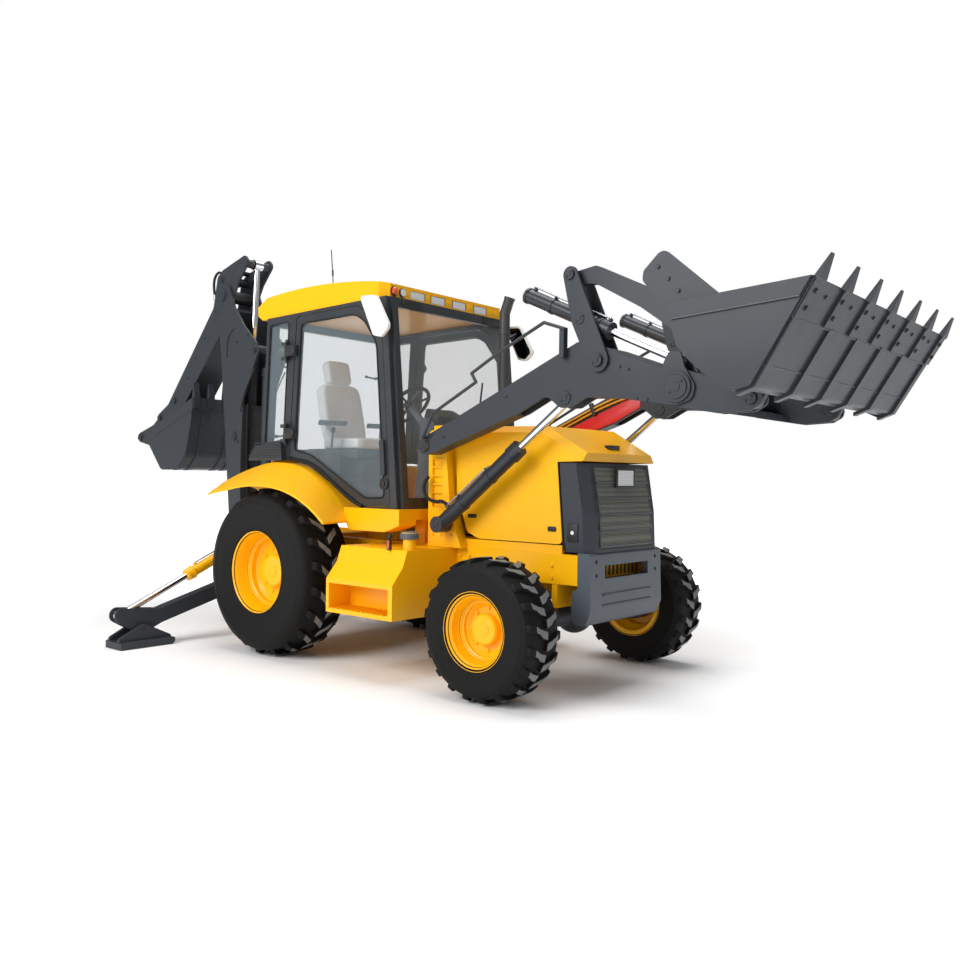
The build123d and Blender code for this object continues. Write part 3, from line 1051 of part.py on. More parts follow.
def backhoe_bucket():
    """Digging bucket: curved wrapper, cheeks, ears, lip and teeth."""
    outer = slab(HOE_ROWS, -HOE_HALF_W, HOE_HALF_W)
    hollow = [(-2228, 2300, 0), (-2243, 1950, 190), (-2347, 1609, 150), (-2488, 1476, 90), (-2774, 1466, 90),
              (-2984, 1693, 0), (-3100, 1693, 0), (-3100, 2300, 0)]
    body = outer - slab(hollow, -HOE_HALF_W + HOE_PLATE, HOE_HALF_W - HOE_PLATE)
    ear_face = link_face([DIPPER_TIP, HOE_LINK_PIN, (-3000, 1700)], [70, 52, 30])
    gap = DIPPER_HALF_W + SIDE_GAP
    for side in (-1, 1):
        low, high = sorted((side * gap, side * (gap + 22)))
        ear = slab(ear_face, low, high) - rod_y_mid(DIPPER_TIP, HOE_PIN_R, 0, 500)
        body = fused(body, ear)
        low, high = sorted((side * (gap + 20), side * (gap + 34)))
        body = fused(body, rod_y(HOE_LINK_PIN, 40, low, high))
    body = fused(body, rod_y_mid(DIPPER_TIP, HOE_PIN_R, 0, 2 * gap + 44 + 20))
    band = slab([(-2218, 2176, 0), (-2197, 2176, 0), (-2205, 2060, 0), (-2226, 2060, 0)],
                -HOE_HALF_W + 2, HOE_HALF_W - 2)
    body = fused(body, band, *wrapper_strips())
    for index in range(HOE_TEETH):
        y = -HOE_HALF_W + 45 + index * (2 * HOE_HALF_W - 90) / (HOE_TEETH - 1)
        tooth = slab_mid([(-2226, 2080, 0), (-2190, 2080, 0), (-2188, 2200, 0), (-2212, 2330, 0), (-2230, 2195, 0)],
                         y, 66)
        body = fused(body, tooth)
    return body


HOE_STRIP_H = 9.0
# y of the strip's middle, its width, and the height its upper end reaches
HOE_STRIPS = [(-150, 56, 2015), (150, 56, 2015), (-268, 56, 1780), (268, 56, 1780)]


def wrapper_strips():
    """Wear straps that follow the outside of the wrapper."""
    rim_face = grown(HOE_ROWS, HOE_STRIP_H) - grown(HOE_ROWS, -5)
    strips = []
    for y, width, top in HOE_STRIPS:
        strips.append(slab_mid(rim_face, y, width) & block(-2560, -2100, y - width, y + width, 1400, top))
    return strips


# ================================================================ stabilisers
def slab_x(points, x_mid, width):
    """A rear-view outline, rows of y and z or a face, given thickness along X."""
    face = Polygon(*points, align=None) if isinstance(points, list) else points
    return extrude(Plane.YZ.offset(x_mid - width / 2) * face, width, dir=(1, 0, 0))


def rod_x_mid(point, radius, x_mid, width):
    return rod_x(point, radius, x_mid - width / 2, x_mid + width / 2)


def stabiliser_leg():
    """Right leg: box beam with a forked foot for the cylinder and the pad."""
    beam = slab_x(link_face([STAB_PIVOT, (-1440, 205)], [62, 58]), STAB_X, STAB_W)
    foot = slab_x(link_face([STAB_EYE, STAB_PAD_PIN, (-1340, 235)], [62, 48, 60]), STAB_X, STAB_W)
    crotch = slab_x([(-1380, 440), (-1380, 282), (-1590, 190), (-1660, 165), (-1800, 100), (-1800, 440)], STAB_X, 72)
    body = fused(beam, foot) - crotch
    body = body - rod_x_mid(STAB_PIVOT, STAB_PIVOT_R + FIT, STAB_X, 300)
    return fused(body, rod_x_mid(STAB_PAD_PIN, STAB_PAD_PIN_R, STAB_X, STAB_W + 70))


def stabiliser_pad():
    """Right pad: ribbed shoe hung on the foot."""
    y, z = STAB_PAD_PIN
    plate = slab_x([(-1715, 0), (-1260, 0), (-1240, 30), (-1240, 55), (-1715, 55)], STAB_X, 250)
    wall = slab_x(link_face([(y, z), (-1690, 70), (-1280, 60)], [40, 25, 25]), STAB_X, 250)
    wall = wall - block(STAB_X - 61, STAB_X + 61, -1800, -1200, 60, 300)
    wall = wall - block(STAB_X - 200, STAB_X - 88, -1800, -1200, 60, 300)
    wall = wall - block(STAB_X + 88, STAB_X + 200, -1800, -1200, 60, 300)
    body = fused(plate, wall)
    body = body - rod_x_mid(STAB_PAD_PIN, STAB_PAD_PIN_R + FIT, STAB_X, 400)
    return body - slab_x([(-1730, -5), (-1730, 0), (-1230, 0), (-1230, -5)], STAB_X, 300)


def stabiliser_plane():
    """Plane with x from the cylinder's base to its eye and y along the pins."""
    run = Vector(0, STAB_EYE[0] - STAB_CYL_BASE[0], STAB_EYE[1] - STAB_CYL_BASE[1])
    return Plane((STAB_X, STAB_CYL_BASE[0], STAB_CYL_BASE[1]), x_dir=run, z_dir=run.cross(Vector(1, 0, 0)))


def stabiliser_barrel():
    return make_barrel(stabiliser_plane(), 0, 710.0, 46.0, 26.0, 50.0, 96.0, 24.0, 75.0)


def stabiliser_rod():
    return make_rod(stabiliser_plane(), 560.0, distance(STAB_CYL_BASE, STAB_EYE), 26.0, 46.0, 60.0, 24.0)


# ================================================================ build
def build():
    rear = (0, REAR_WHEEL_Y, REAR_TYRE_R)
    front = (WHEELBASE, FRONT_WHEEL_Y, FRONT_TYRE_R)
    nodes = {}
    rear_tyre = tyre(REAR_TYRE_R, REAR_TYRE_W, REAR_BEAD_R, REAR_LUGS, REAR_LUG_H, REAR_LUG_W)
    front_tyre = tyre(FRONT_TYRE_R, FRONT_TYRE_W, FRONT_BEAD_R, FRONT_LUGS, FRONT_LUG_H, FRONT_LUG_W)
    for name, side in (("right", -1), ("left", 1)):
        rear_c = (rear[0], side * rear[1], rear[2])
        front_c = (front[0], side * front[1], front[2])
        nodes[f"rear_tyre_{name}"] = Pos(*rear_c) * rear_tyre
        nodes[f"rear_rim_{name}"] = rim(rear_c, REAR_TYRE_R, REAR_TYRE_W, REAR_BEAD_R, 130, side)
        nodes[f"front_tyre_{name}"] = Pos(*front_c) * front_tyre
        nodes[f"front_rim_{name}"] = rim(front_c, FRONT_TYRE_R, FRONT_TYRE_W, FRONT_BEAD_R, 100, side)
        nodes[f"knuckle_{name}"] = knuckle(side)
        nodes[f"cab_door_{name}"] = cab_door(side)
        nodes[f"door_glass_{name}"] = door_glass(side)
    nodes["axles"] = group(rear_axle(), front_axle())
    nodes["main_frame"] = main_frame()
    nodes["scuttle"] = scuttle()
    nodes["front_bumper"] = front_bumper()
    nodes["hood"] = hood()
    nodes["front_cowl"] = front_cowl()
    nodes["radiator_grille"] = radiator_grille()
    nodes["engine_block"] = engine_block()
    nodes["exhaust_stack"] = exhaust_stack()
    nodes["cab_frame"] = cab_frame()
    nodes["cab_glass"] = cab_glass()
    nodes["cab_roof"] = cab_roof()
    nodes["cab_base"] = cab_base()
    nodes["seat"] = seat()
    nodes["controls"] = controls()
    nodes["step_boxes"] = step_boxes()
    nodes["mirrors"] = mirrors()
    nodes["lamps"] = lamps()
    nodes["loader_arm"] = loader_arm()
    nodes["lift_barrels"] = both(lift_barrel_side())
    nodes["lift_rods"] = both(lift_rod_side())
    nodes["bellcranks"] = both(bellcrank_side())
    nodes["tilt_barrels"] = both(tilt_barrel_side())
    nodes["tilt_rods"] = both(tilt_rod_side())
    nodes["bucket_links"] = both(banana_link_side())
    nodes["loader_bucket"] = loader_bucket()
    nodes["swing_frame"] = swing_frame()
    nodes["boom"] = boom()
    nodes["dipper"] = dipper()
    for name in HOE_CYLINDERS:
        nodes[f"{name}_barrel"] = hoe_barrel(name)
        nodes[f"{name}_rod"] = hoe_rod(name)
    nodes["rocker"] = group(*rocker())
    nodes["hoe_link"] = bucket_link()
    nodes["backhoe_bucket"] = backhoe_bucket()
    for name, turn in (("right", lambda s: s), ("left", mirrored)):
        nodes[f"stabiliser_leg_{name}"] = turn(stabiliser_leg())
        nodes[f"stabiliser_barrel_{name}"] = turn(stabiliser_barrel())
        nodes[f"stabiliser_rod_{name}"] = turn(stabiliser_rod())
        nodes[f"stabiliser_pad_{name}"] = turn(stabiliser_pad())
    return nodes


def main():
    os.makedirs("parts", exist_ok=True)
    for name, shape in build().items():
        export_step(shape, f"parts/{name}.step")


main()
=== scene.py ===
"""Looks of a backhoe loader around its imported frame. Metres, +X forward, +Y the machine's left, +Z up."""

from math import cos, hypot, pi, radians, sin

import bmesh
import bpy
from mathutils import Matrix, Vector


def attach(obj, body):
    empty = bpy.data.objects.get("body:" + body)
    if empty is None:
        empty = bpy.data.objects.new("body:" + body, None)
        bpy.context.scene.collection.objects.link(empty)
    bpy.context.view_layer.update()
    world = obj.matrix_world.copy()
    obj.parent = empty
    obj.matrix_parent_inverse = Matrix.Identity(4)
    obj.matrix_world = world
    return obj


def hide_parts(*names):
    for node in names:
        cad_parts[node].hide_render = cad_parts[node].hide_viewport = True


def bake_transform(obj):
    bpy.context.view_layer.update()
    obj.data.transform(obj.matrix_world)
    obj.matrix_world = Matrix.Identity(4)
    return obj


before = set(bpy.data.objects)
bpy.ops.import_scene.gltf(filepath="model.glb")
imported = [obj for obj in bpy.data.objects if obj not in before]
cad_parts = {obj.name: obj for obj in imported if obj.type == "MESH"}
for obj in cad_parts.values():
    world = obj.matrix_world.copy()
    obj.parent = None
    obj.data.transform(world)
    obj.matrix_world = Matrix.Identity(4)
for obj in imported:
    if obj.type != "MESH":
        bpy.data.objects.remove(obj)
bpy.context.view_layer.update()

MM = 0.001
SIDES = {-1: "right", 1: "left"}        # the machine's right has negative y


# ---------------------------------------------------------------- colours and nodes
def linear(code):
    """Linear colour of an sRGB hex value."""
    shares = [int(code[i:i + 2], 16) / 255 for i in (1, 3, 5)]
    return tuple(c / 12.92 if c <= 0.04045 else ((c + 0.055) / 1.055) ** 2.4 for c in shares) + (1.0,)


def add_node(tree, kind, values=(), links=(), **settings):
    """A shader node with its settings, its sockets' values and the nodes or outputs that feed it."""
    made = tree.nodes.new("ShaderNode" + kind)
    for key, value in settings.items():
        setattr(made, key, value)
    for socket, value in dict(values).items():
        made.inputs[socket].default_value = value
    for socket, source in dict(links).items():
        tree.links.new(source.outputs[0] if isinstance(source, bpy.types.Node) else source, made.inputs[socket])
    return made


def new_finish(name):
    """An empty node material: its tree and its object coordinates in metres."""
    finish = bpy.data.materials.new(name)
    finish.use_nodes = True
    finish.node_tree.nodes.clear()
    return finish, finish.node_tree, add_node(finish.node_tree, "TexCoord").outputs["Object"]


def machine_enamel(name, colour, shadow, gloss, edge=3 * MM):
    """Sprayed two-pack enamel on plate: even colour, soft orange peel, eased plate edges that catch light."""
    finish, tree, place = new_finish(name)
    drift = add_node(tree, "TexNoise", {"Scale": 1 / (700 * MM)}, {"Vector": place})
    patches = add_node(tree, "TexNoise", {"Scale": 1 / (120 * MM)}, {"Vector": place})
    peel = add_node(tree, "TexNoise", {"Scale": 1 / (6 * MM), "Detail": 1.0}, {"Vector": place})
    eased = add_node(tree, "Bevel", {"Radius": edge}, samples=4)
    share = add_node(tree, "MapRange", {"To Max": 0.5}, {"Value": drift})
    paint = add_node(tree, "Mix", {6: linear(colour), 7: linear(shadow)}, {0: share}, data_type="RGBA")
    rough = add_node(tree, "MapRange", {"To Min": gloss, "To Max": gloss + 0.1}, {"Value": patches})
    skin = add_node(tree, "Bump", {"Strength": 0.5, "Distance": 0.05 * MM}, {"Height": peel, "Normal": eased})
    surface = add_node(tree, "BsdfPrincipled",
                       {"Coat Weight": 0.1, "Coat Roughness": 0.12, "Specular IOR Level": 0.35},
                       {"Base Color": paint.outputs[2], "Roughness": rough, "Normal": skin})
    add_node(tree, "OutputMaterial", links={"Surface": surface})
    return finish


def powder_coat(name, colour, rough):
    """Powder coat on tube and sheet: fine even grain that spreads the highlights."""
    finish, tree, place = new_finish(name)
    grain = add_node(tree, "TexNoise", {"Scale": 1 / (2 * MM)}, {"Vector": place})
    clouds = add_node(tree, "TexNoise", {"Scale": 1 / (300 * MM)}, {"Vector": place})
    eased = add_node(tree, "Bevel", {"Radius": 3 * MM}, samples=4)
    paint = add_node(tree, "Mix", {6: linear(colour), 7: linear("#1F2224")}, {0: clouds}, data_type="RGBA")
    spread = add_node(tree, "MapRange", {"To Min": rough - 0.06, "To Max": rough + 0.06}, {"Value": grain})
    skin = add_node(tree, "Bump", {"Strength": 0.5, "Distance": 0.08 * MM}, {"Height": grain, "Normal": eased})
    surface = add_node(tree, "BsdfPrincipled", {"IOR": 1.5, "Coat Weight": 0.1, "Coat Roughness": 0.2},
                       {"Base Color": paint.outputs[2], "Roughness": spread, "Normal": skin})
    add_node(tree, "OutputMaterial", links={"Surface": surface})
    return finish


def moulded_plastic(name, colour, dark, rough=0.5):
    """Injection-moulded polypropylene with a fine spark-eroded grain."""
    finish, tree, place = new_finish(name)
    grain = add_node(tree, "TexVoronoi", {"Scale": 1 / (3 * MM)}, {"Vector": place})
    clouds = add_node(tree, "TexNoise", {"Scale": 1 / (200 * MM)}, {"Vector": place})
    tint = add_node(tree, "Mix", {6: linear(colour), 7: linear(dark)}, {0: clouds}, data_type="RGBA")
    spread = add_node(tree, "MapRange", {"To Min": rough - 0.05, "To Max": rough + 0.1}, {"Value": grain})
    skin = add_node(tree, "Bump", {"Strength": 0.4, "Distance": 0.06 * MM}, {"Height": grain})
    surface = add_node(tree, "BsdfPrincipled", {"IOR": 1.49},
                       {"Base Color": tint.outputs[2], "Roughness": spread, "Normal": skin})
    add_node(tree, "OutputMaterial", links={"Surface": surface})
    return finish


def plated_steel(name, light, dark, metal, low, high, size):
    """Plated or chromed steel: bright, with a soft mottle of size metres that varies the shine."""
    finish, tree, place = new_finish(name)
    mottle = add_node(tree, "TexNoise", {"Scale": 1 / size, "Detail": 3.0}, {"Vector": place})
    tint = add_node(tree, "Mix", {6: linear(light), 7: linear(dark)}, {0: mottle}, data_type="RGBA")
    rough = add_node(tree, "MapRange", {"To Min": low, "To Max": high}, {"Value": mottle})
    surface = add_node(tree, "BsdfPrincipled", {"Metallic": metal},
                       {"Base Color": tint.outputs[2], "Roughness": rough})
    add_node(tree, "OutputMaterial", links={"Surface": surface})
    return finish


def rubber(name, light, dark, low, high, size):
    """Carbon-black rubber: matt with a fine grain and blotches of grey bloom size metres across."""
    finish, tree, place = new_finish(name)
    grain = add_node(tree, "TexNoise", {"Scale": 1 / (3 * MM), "Detail": 4.0}, {"Vector": place})
    bloom = add_node(tree, "TexNoise", {"Scale": 1 / size, "Detail": 3.0}, {"Vector": place})
    tint = add_node(tree, "Mix", {6: linear(light), 7: linear(dark)}, {0: bloom}, data_type="RGBA")
    rough = add_node(tree, "MapRange", {"To Min": low, "To Max": high}, {"Value": bloom})
    skin = add_node(tree, "Bump", {"Strength": 0.5, "Distance": 0.3 * MM}, {"Height": grain})
    surface = add_node(tree, "BsdfPrincipled", {"Specular IOR Level": 0.2, "IOR": 1.5},
                       {"Base Color": tint.outputs[2], "Roughness": rough, "Normal": skin})
    add_node(tree, "OutputMaterial", links={"Surface": surface})
    return finish


def cab_glass_finish():
    """Toughened cab glass: clear with the faint grey-blue of a 6 mm pane, so the seat shows through."""
    finish, tree, place = new_finish("toughened_cab_glass")
    haze = add_node(tree, "TexNoise", {"Scale": 1 / (300 * MM)}, {"Vector": place})
    rough = add_node(tree, "MapRange", {"To Max": 0.02}, {"Value": haze})
    facing = add_node(tree, "LayerWeight", {"Blend": 0.3}).outputs["Facing"]
    share = add_node(tree, "MapRange", {"To Min": 0.05, "To Max": 0.5}, {"Value": facing})
    surface = add_node(tree, "BsdfPrincipled", {"Base Color": linear("#9DAEB8"), "IOR": 1.45},
                       {"Roughness": rough, "Alpha": share})
    add_node(tree, "OutputMaterial", links={"Surface": surface})
    return finish


def lens(name, colour, ridge):
    """Moulded lamp lens: ribbed acrylic over a bright reflector."""
    finish, tree, place = new_finish(name)
    ribs = add_node(tree, "TexWave", {"Scale": 1 / (30 * MM), "Distortion": 0.0}, {"Vector": place},
                    bands_direction="Z")
    tint = add_node(tree, "Mix", {6: linear(colour), 7: linear(ridge)}, {0: ribs.outputs["Fac"]},
                    data_type="RGBA")
    rough = add_node(tree, "MapRange", {"To Min": 0.12, "To Max": 0.25}, {"Value": ribs.outputs["Fac"]})
    skin = add_node(tree, "Bump", {"Strength": 0.6, "Distance": 0.8 * MM}, {"Height": ribs.outputs["Fac"]})
    surface = add_node(tree, "BsdfPrincipled", {"Coat Weight": 1.0, "Coat Roughness": 0.03, "IOR": 1.49},
                       {"Base Color": tint.outputs[2], "Roughness": rough, "Normal": skin})
    add_node(tree, "OutputMaterial", links={"Surface": surface})
    return finish


def pierced_steel():
    """Radiator guard of pierced steel: rows of holes painted near-black as painted shade of the openings, drawn
    at 9 mm pitch so that they show.
    """
    finish, tree, place = new_finish("pierced_steel_mesh")
    holes = add_node(tree, "TexVoronoi", {"Scale": 1 / (9 * MM), "Randomness": 0.15}, {"Vector": place})
    edge = add_node(tree, "MapRange", {"From Min": 0.30, "From Max": 0.45}, {"Value": holes})
    # the near-black is painted shade in the holes, which are not cut through
    tint = add_node(tree, "Mix", {6: linear("#1C1D1D"), 7: linear("#77796F")}, {0: edge}, data_type="RGBA")
    rough = add_node(tree, "MapRange", {"To Min": 0.75, "To Max": 0.45}, {"Value": edge})
    skin = add_node(tree, "Bump", {"Strength": 0.7, "Distance": 1 * MM}, {"Height": edge})
    surface = add_node(tree, "BsdfPrincipled", {"IOR": 1.5},
                       {"Base Color": tint.outputs[2], "Roughness": rough, "Normal": skin})
    add_node(tree, "OutputMaterial", links={"Surface": surface})
    return finish


def grained_vinyl(name, colour, dark):
    """Seat vinyl: pebble grain, drawn at 4 mm so that it shows, with a satin sheen."""
    finish, tree, place = new_finish(name)
    cells = add_node(tree, "TexVoronoi", {"Scale": 1 / (4 * MM)}, {"Vector": place}, feature="SMOOTH_F1")
    wear = add_node(tree, "TexNoise", {"Scale": 1 / (150 * MM)}, {"Vector": place})
    tint = add_node(tree, "Mix", {6: linear(colour), 7: linear(dark)}, {0: wear}, data_type="RGBA")
    rough = add_node(tree, "MapRange", {"To Min": 0.36, "To Max": 0.5}, {"Value": cells})
    skin = add_node(tree, "Bump", {"Strength": 0.5, "Distance": 0.4 * MM}, {"Height": cells})
    surface = add_node(tree, "BsdfPrincipled", {"IOR": 1.5, "Sheen Weight": 0.2, "Sheen Roughness": 0.4},
                       {"Base Color": tint.outputs[2], "Roughness": rough, "Normal": skin})
    add_node(tree, "OutputMaterial", links={"Surface": surface})
    return finish


def sand_cast_iron():
    """Engine and axle castings: sand-cast texture under a thin coat of paint."""
    finish, tree, place = new_finish("sand_cast_iron")
    sand = add_node(tree, "TexNoise", {"Scale": 1 / (5 * MM), "Detail": 5.0, "Roughness": 0.6},
                    {"Vector": place})
    tint = add_node(tree, "Mix", {6: linear("#3D4145"), 7: linear("#2B2E31")}, {0: sand}, data_type="RGBA")
    rough = add_node(tree, "MapRange", {"To Min": 0.5, "To Max": 0.7}, {"Value": sand})
    skin = add_node(tree, "Bump", {"Strength": 0.8, "Distance": 0.6 * MM}, {"Height": sand})
    surface = add_node(tree, "BsdfPrincipled", {"IOR": 1.5, "Metallic": 0.2},
                       {"Base Color": tint.outputs[2], "Roughness": rough, "Normal": skin})
    add_node(tree, "OutputMaterial", links={"Surface": surface})
    return finish


YELLOW = machine_enamel("yellow_machine_enamel", "#FFBC00", "#F8AE00", 0.32)
SLATE = machine_enamel("slate_machine_enamel", "#2F343A", "#292D32", 0.48)
BLUE_GREY = machine_enamel("blue_grey_machine_enamel", "#565E67", "#4D545D", 0.36)
DARK_BLUE = machine_enamel("dark_cylinder_enamel", "#262B33", "#20242B", 0.3)
RED = machine_enamel("red_stripe_enamel", "#C81E1E", "#B81A1A", 0.35)
CAB_BLACK = powder_coat("black_powder_coat", "#33383D", 0.42)
STACK = powder_coat("heat_proof_stack_paint", "#3E4244", 0.55)
PLASTIC = moulded_plastic("moulded_black_polypropylene", "#202224", "#17181A")
GREY_TRIM = moulded_plastic("moulded_grey_trim", "#5E6569", "#4C5256", 0.55)
WHITE_SHELL = moulded_plastic("moulded_white_shell", "#F4F4F2", "#EBEBE9", 0.3)
CHROME = plated_steel("hard_chrome_on_steel", "#E8EAEC", "#DADDE0", 1.0, 0.06, 0.16, 4 * MM)
ZINC = plated_steel("zinc_plated_steel", "#B9BDC0", "#85898C", 0.9, 0.28, 0.45, 8 * MM)
# Steel pipes on the arms: their yellow colour is a painted reflection of the machine's yellow paint.
PIPE = plated_steel("steel_pipe_with_painted_yellow_reflection", "#D9A93C", "#B98A30", 0.6, 0.3, 0.45, 15 * MM)
MIRROR = plated_steel("silvered_mirror_glass", "#30353A", "#25292D", 1.0, 0.04, 0.08, 300 * MM)
RUBBER = rubber("vulcanised_tyre_rubber", "#0E0E0E", "#141413", 0.6, 0.75, 250 * MM)
# tread tops are drawn in a lighter grey than the carcass
TREAD = rubber("lighter_grey_tread_top_rubber", "#858583", "#6C6C6A", 0.42, 0.6, 60 * MM)
HOSE = rubber("braided_hose_rubber", "#1A1B1C", "#222324", 0.45, 0.6, 40 * MM)
GLASS = cab_glass_finish()
CLEAR_LENS = lens("ribbed_clear_lens", "#D5DADD", "#FFFFFF")
AMBER_LENS = lens("amber_lens", "#F0501A", "#D9420F")
MESH = pierced_steel()
VINYL = grained_vinyl("pale_grained_vinyl", "#FBFCFB", "#E2E4E3")
DARK_VINYL = grained_vinyl("dark_grained_vinyl", "#4A5054", "#3E4346")
IRON = sand_cast_iron()

# finish, and the CAD nodes that take it
NODE_FINISHES = [
    (YELLOW, "cab_base cab_roof hood scuttle step_boxes main_frame rear_rim_left rear_rim_right front_rim_left "
             "front_rim_right stabiliser_barrel_left stabiliser_barrel_right"),
    (SLATE, "front_cowl loader_arm loader_bucket bellcranks bucket_links boom dipper swing_frame rocker "
            "hoe_link backhoe_bucket stabiliser_leg_left stabiliser_leg_right stabiliser_pad_left "
            "stabiliser_pad_right boom_barrel dipper_barrel hoe_bucket_barrel"),
    (BLUE_GREY, "front_bumper"),
    (DARK_BLUE, "lift_barrels tilt_barrels"),
    (CAB_BLACK, "cab_frame cab_door_left cab_door_right"),
    (CHROME, "lift_rods tilt_rods boom_rod dipper_rod hoe_bucket_rod stabiliser_rod_left stabiliser_rod_right"),
    (GLASS, "cab_glass door_glass_left door_glass_right"),
    (RUBBER, "rear_tyre_left rear_tyre_right front_tyre_left front_tyre_right"),
    (IRON, "engine_block axles knuckle_left knuckle_right"),
    (MESH, "radiator_grille"),
    (STACK, "exhaust_stack"),
    (CLEAR_LENS, "lamps"),
    (WHITE_SHELL, "mirrors"),
    (VINYL, "seat"),
    (GREY_TRIM, "controls"),
]
for finish, names in NODE_FINISHES:
    for name in names.split():
        node_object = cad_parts[name]
        node_object.data.materials.clear()
        node_object.data.materials.append(finish)


# ---------------------------------------------------------------- solids
AXES = {"X": lambda a, b, c: Vector((c, a, b)), "Y": lambda a, b, c: Vector((a, c, b)),
        "Z": lambda a, b, c: Vector((a, b, c))}


def sharp_edges(bm, angle=30):
    """Edges between faces that meet at more than angle degrees."""
    return [e for e in bm.edges if len(e.link_faces) == 2 and e.calc_face_angle(0) > radians(angle)]


def ease(bm, width, segments=2):
    """Rounds the sharp edges of a solid."""
    if width:
        bmesh.ops.bevel(bm, geom=sharp_edges(bm), offset=width, segments=segments, profile=0.5,
                        affect="EDGES", material=-1, clamp_overlap=True)
    return bm


def outline(rows, low, high, axis="Y", corner=0, edge=2):
    """An outline given thickness along an axis; its corners and then its rims are rounded."""
    bm = bmesh.new()
    place = AXES[axis]
    face = bm.faces.new([bm.verts.new(place(a, b, low)) for a, b in rows])
    grown = bmesh.ops.extrude_face_region(bm, geom=[face], use_keep_orig=True)["geom"]
    bmesh.ops.translate(bm, verts=[g for g in grown if isinstance(g, bmesh.types.BMVert)],
                        vec=place(0, 0, high - low))
    bmesh.ops.recalc_face_normals(bm, faces=bm.faces)
    along = place(0, 0, 1)
    if corner:
        posts = [e for e in bm.edges if abs((e.verts[1].co - e.verts[0].co).normalized().dot(along)) > 0.99]
        bmesh.ops.bevel(bm, geom=posts, offset=corner, segments=5, profile=0.5, affect="EDGES", material=-1,
                        clamp_overlap=True)
    return ease(bm, edge)


def box(low, high, edge=2):
    """A box between two corners with eased edges."""
    rows = [(low[0], low[1]), (high[0], low[1]), (high[0], high[1]), (low[0], high[1])]
    return outline(rows, low[2], high[2], "Z", edge=edge)


def drum(start, end, radius, edge=2, sides=32, end_radius=None):
    """A round bar, cone or hexagon between two points."""
    start, end = Vector(start), Vector(end)
    run = end - start
    bm = bmesh.new()
    place = Matrix.Translation((start + end) / 2) @ run.to_track_quat("Z", "Y").to_matrix().to_4x4()
    bmesh.ops.create_cone(bm, cap_ends=True, segments=sides, radius1=radius,
                          radius2=radius if end_radius is None else end_radius, depth=run.length, matrix=place)
    return ease(bm, edge, 1)


def turned(rows, centre, axis="Y", steps=64):
    """A closed outline of (radius, offset) rows turned about an axis through centre."""
    bm = bmesh.new()
    verts = [bm.verts.new(AXES[axis](r, 0, offset) + Vector(centre)) for r, offset in rows]
    edges = [bm.edges.new((a, b)) for a, b in zip(verts, verts[1:] + verts[:1])]
    bmesh.ops.spin(bm, geom=verts + edges, cent=centre, axis=AXES[axis](0, 0, 1), angle=2 * pi, steps=steps,
                   use_merge=True)
    bmesh.ops.remove_doubles(bm, verts=bm.verts, dist=0.02)
    bmesh.ops.recalc_face_normals(bm, faces=bm.faces)
    return bm


def ring_of(bm, centre, axis, count):
    """Repeats a solid count times round an axis."""
    bmesh.ops.spin(bm, geom=bm.verts[:] + bm.edges[:] + bm.faces[:], cent=centre, axis=AXES[axis](0, 0, 1),
                   angle=2 * pi * (count - 1) / count, steps=count - 1, use_duplicate=True)
    return bm


def bolt(point, direction, across=24):
    """Hexagon head on its washer, standing out of a surface along direction."""
    point, out = Vector(point), Vector(direction).normalized()
    washer = drum(point, point + out * 3, across * 0.62, 0.5, 20)
    head = drum(point + out * 2.5, point + out * across * 0.45, across / 2, 1, 6)
    return [washer, head]


def dress(name, parts, finish, body="chassis", replaced=(), smooth=35):
    """One piece from several solids in mm, with its finish and slot, riding on its body."""
    mesh = bpy.data.meshes.new(name)
    whole = bmesh.new()
    for bm in parts:
        part = bpy.data.meshes.new("part")
        bm.to_mesh(part)
        bm.free()
        whole.from_mesh(part)
        bpy.data.meshes.remove(part)
    bmesh.ops.scale(whole, vec=(MM, MM, MM), verts=whole.verts)
    whole.to_mesh(mesh)
    whole.free()
    mesh.shade_smooth()
    mesh.set_sharp_from_angle(angle=radians(smooth))
    mesh.materials.append(finish)
    made = bpy.data.objects.new(name, mesh)
    bpy.context.scene.collection.objects.link(made)
    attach(made, body)
    if replaced:
        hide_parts(*replaced)
    return made


def tube_runs(name, runs, radius, finish, body="chassis", smooth=True, ride=True):
    """Pipes, hoses or beads along runs of points in mm, as one mesh."""
    curve = bpy.data.curves.new(name, "CURVE")
    curve.dimensions = "3D"
    curve.bevel_depth = radius * MM
    curve.bevel_resolution = 4
    curve.resolution_u = 8
    curve.use_fill_caps = True
    for points in runs:
        spline = curve.splines.new("NURBS" if smooth else "POLY")
        spline.points.add(len(points) - 1)
        for knot, point in zip(spline.points, points):
            knot.co = (*[value * MM for value in point], 1.0)
        if smooth:
            spline.order_u = 3
            spline.use_endpoint_u = True
    curve.materials.append(finish)
    made = bpy.data.objects.new(name, curve)
    bpy.context.scene.collection.objects.link(made)
    shape = bpy.data.meshes.new_from_object(made.evaluated_get(bpy.context.evaluated_depsgraph_get()))
    bpy.data.objects.remove(made)
    made = bpy.data.objects.new(name, shape)
    bpy.context.scene.collection.objects.link(made)
    if ride:
        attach(made, body)
    return made


# ---------------------------------------------------------------- wheels
def interpolated(rows, at):
    """Second column of rows at a value of the first."""
    for (x0, y0), (x1, y1) in zip(rows, rows[1:]):
        if x0 <= at <= x1:
            return y0 + (y1 - y0) * (at - x0) / (x1 - x0)
    return rows[-1][1] if at > rows[-1][0] else rows[0][1]


BAR_ROOT = 12       # how far a tread bar starts below the tyre's crown
BAR_FOOT = 1.25     # its foot's width as a share of its top's


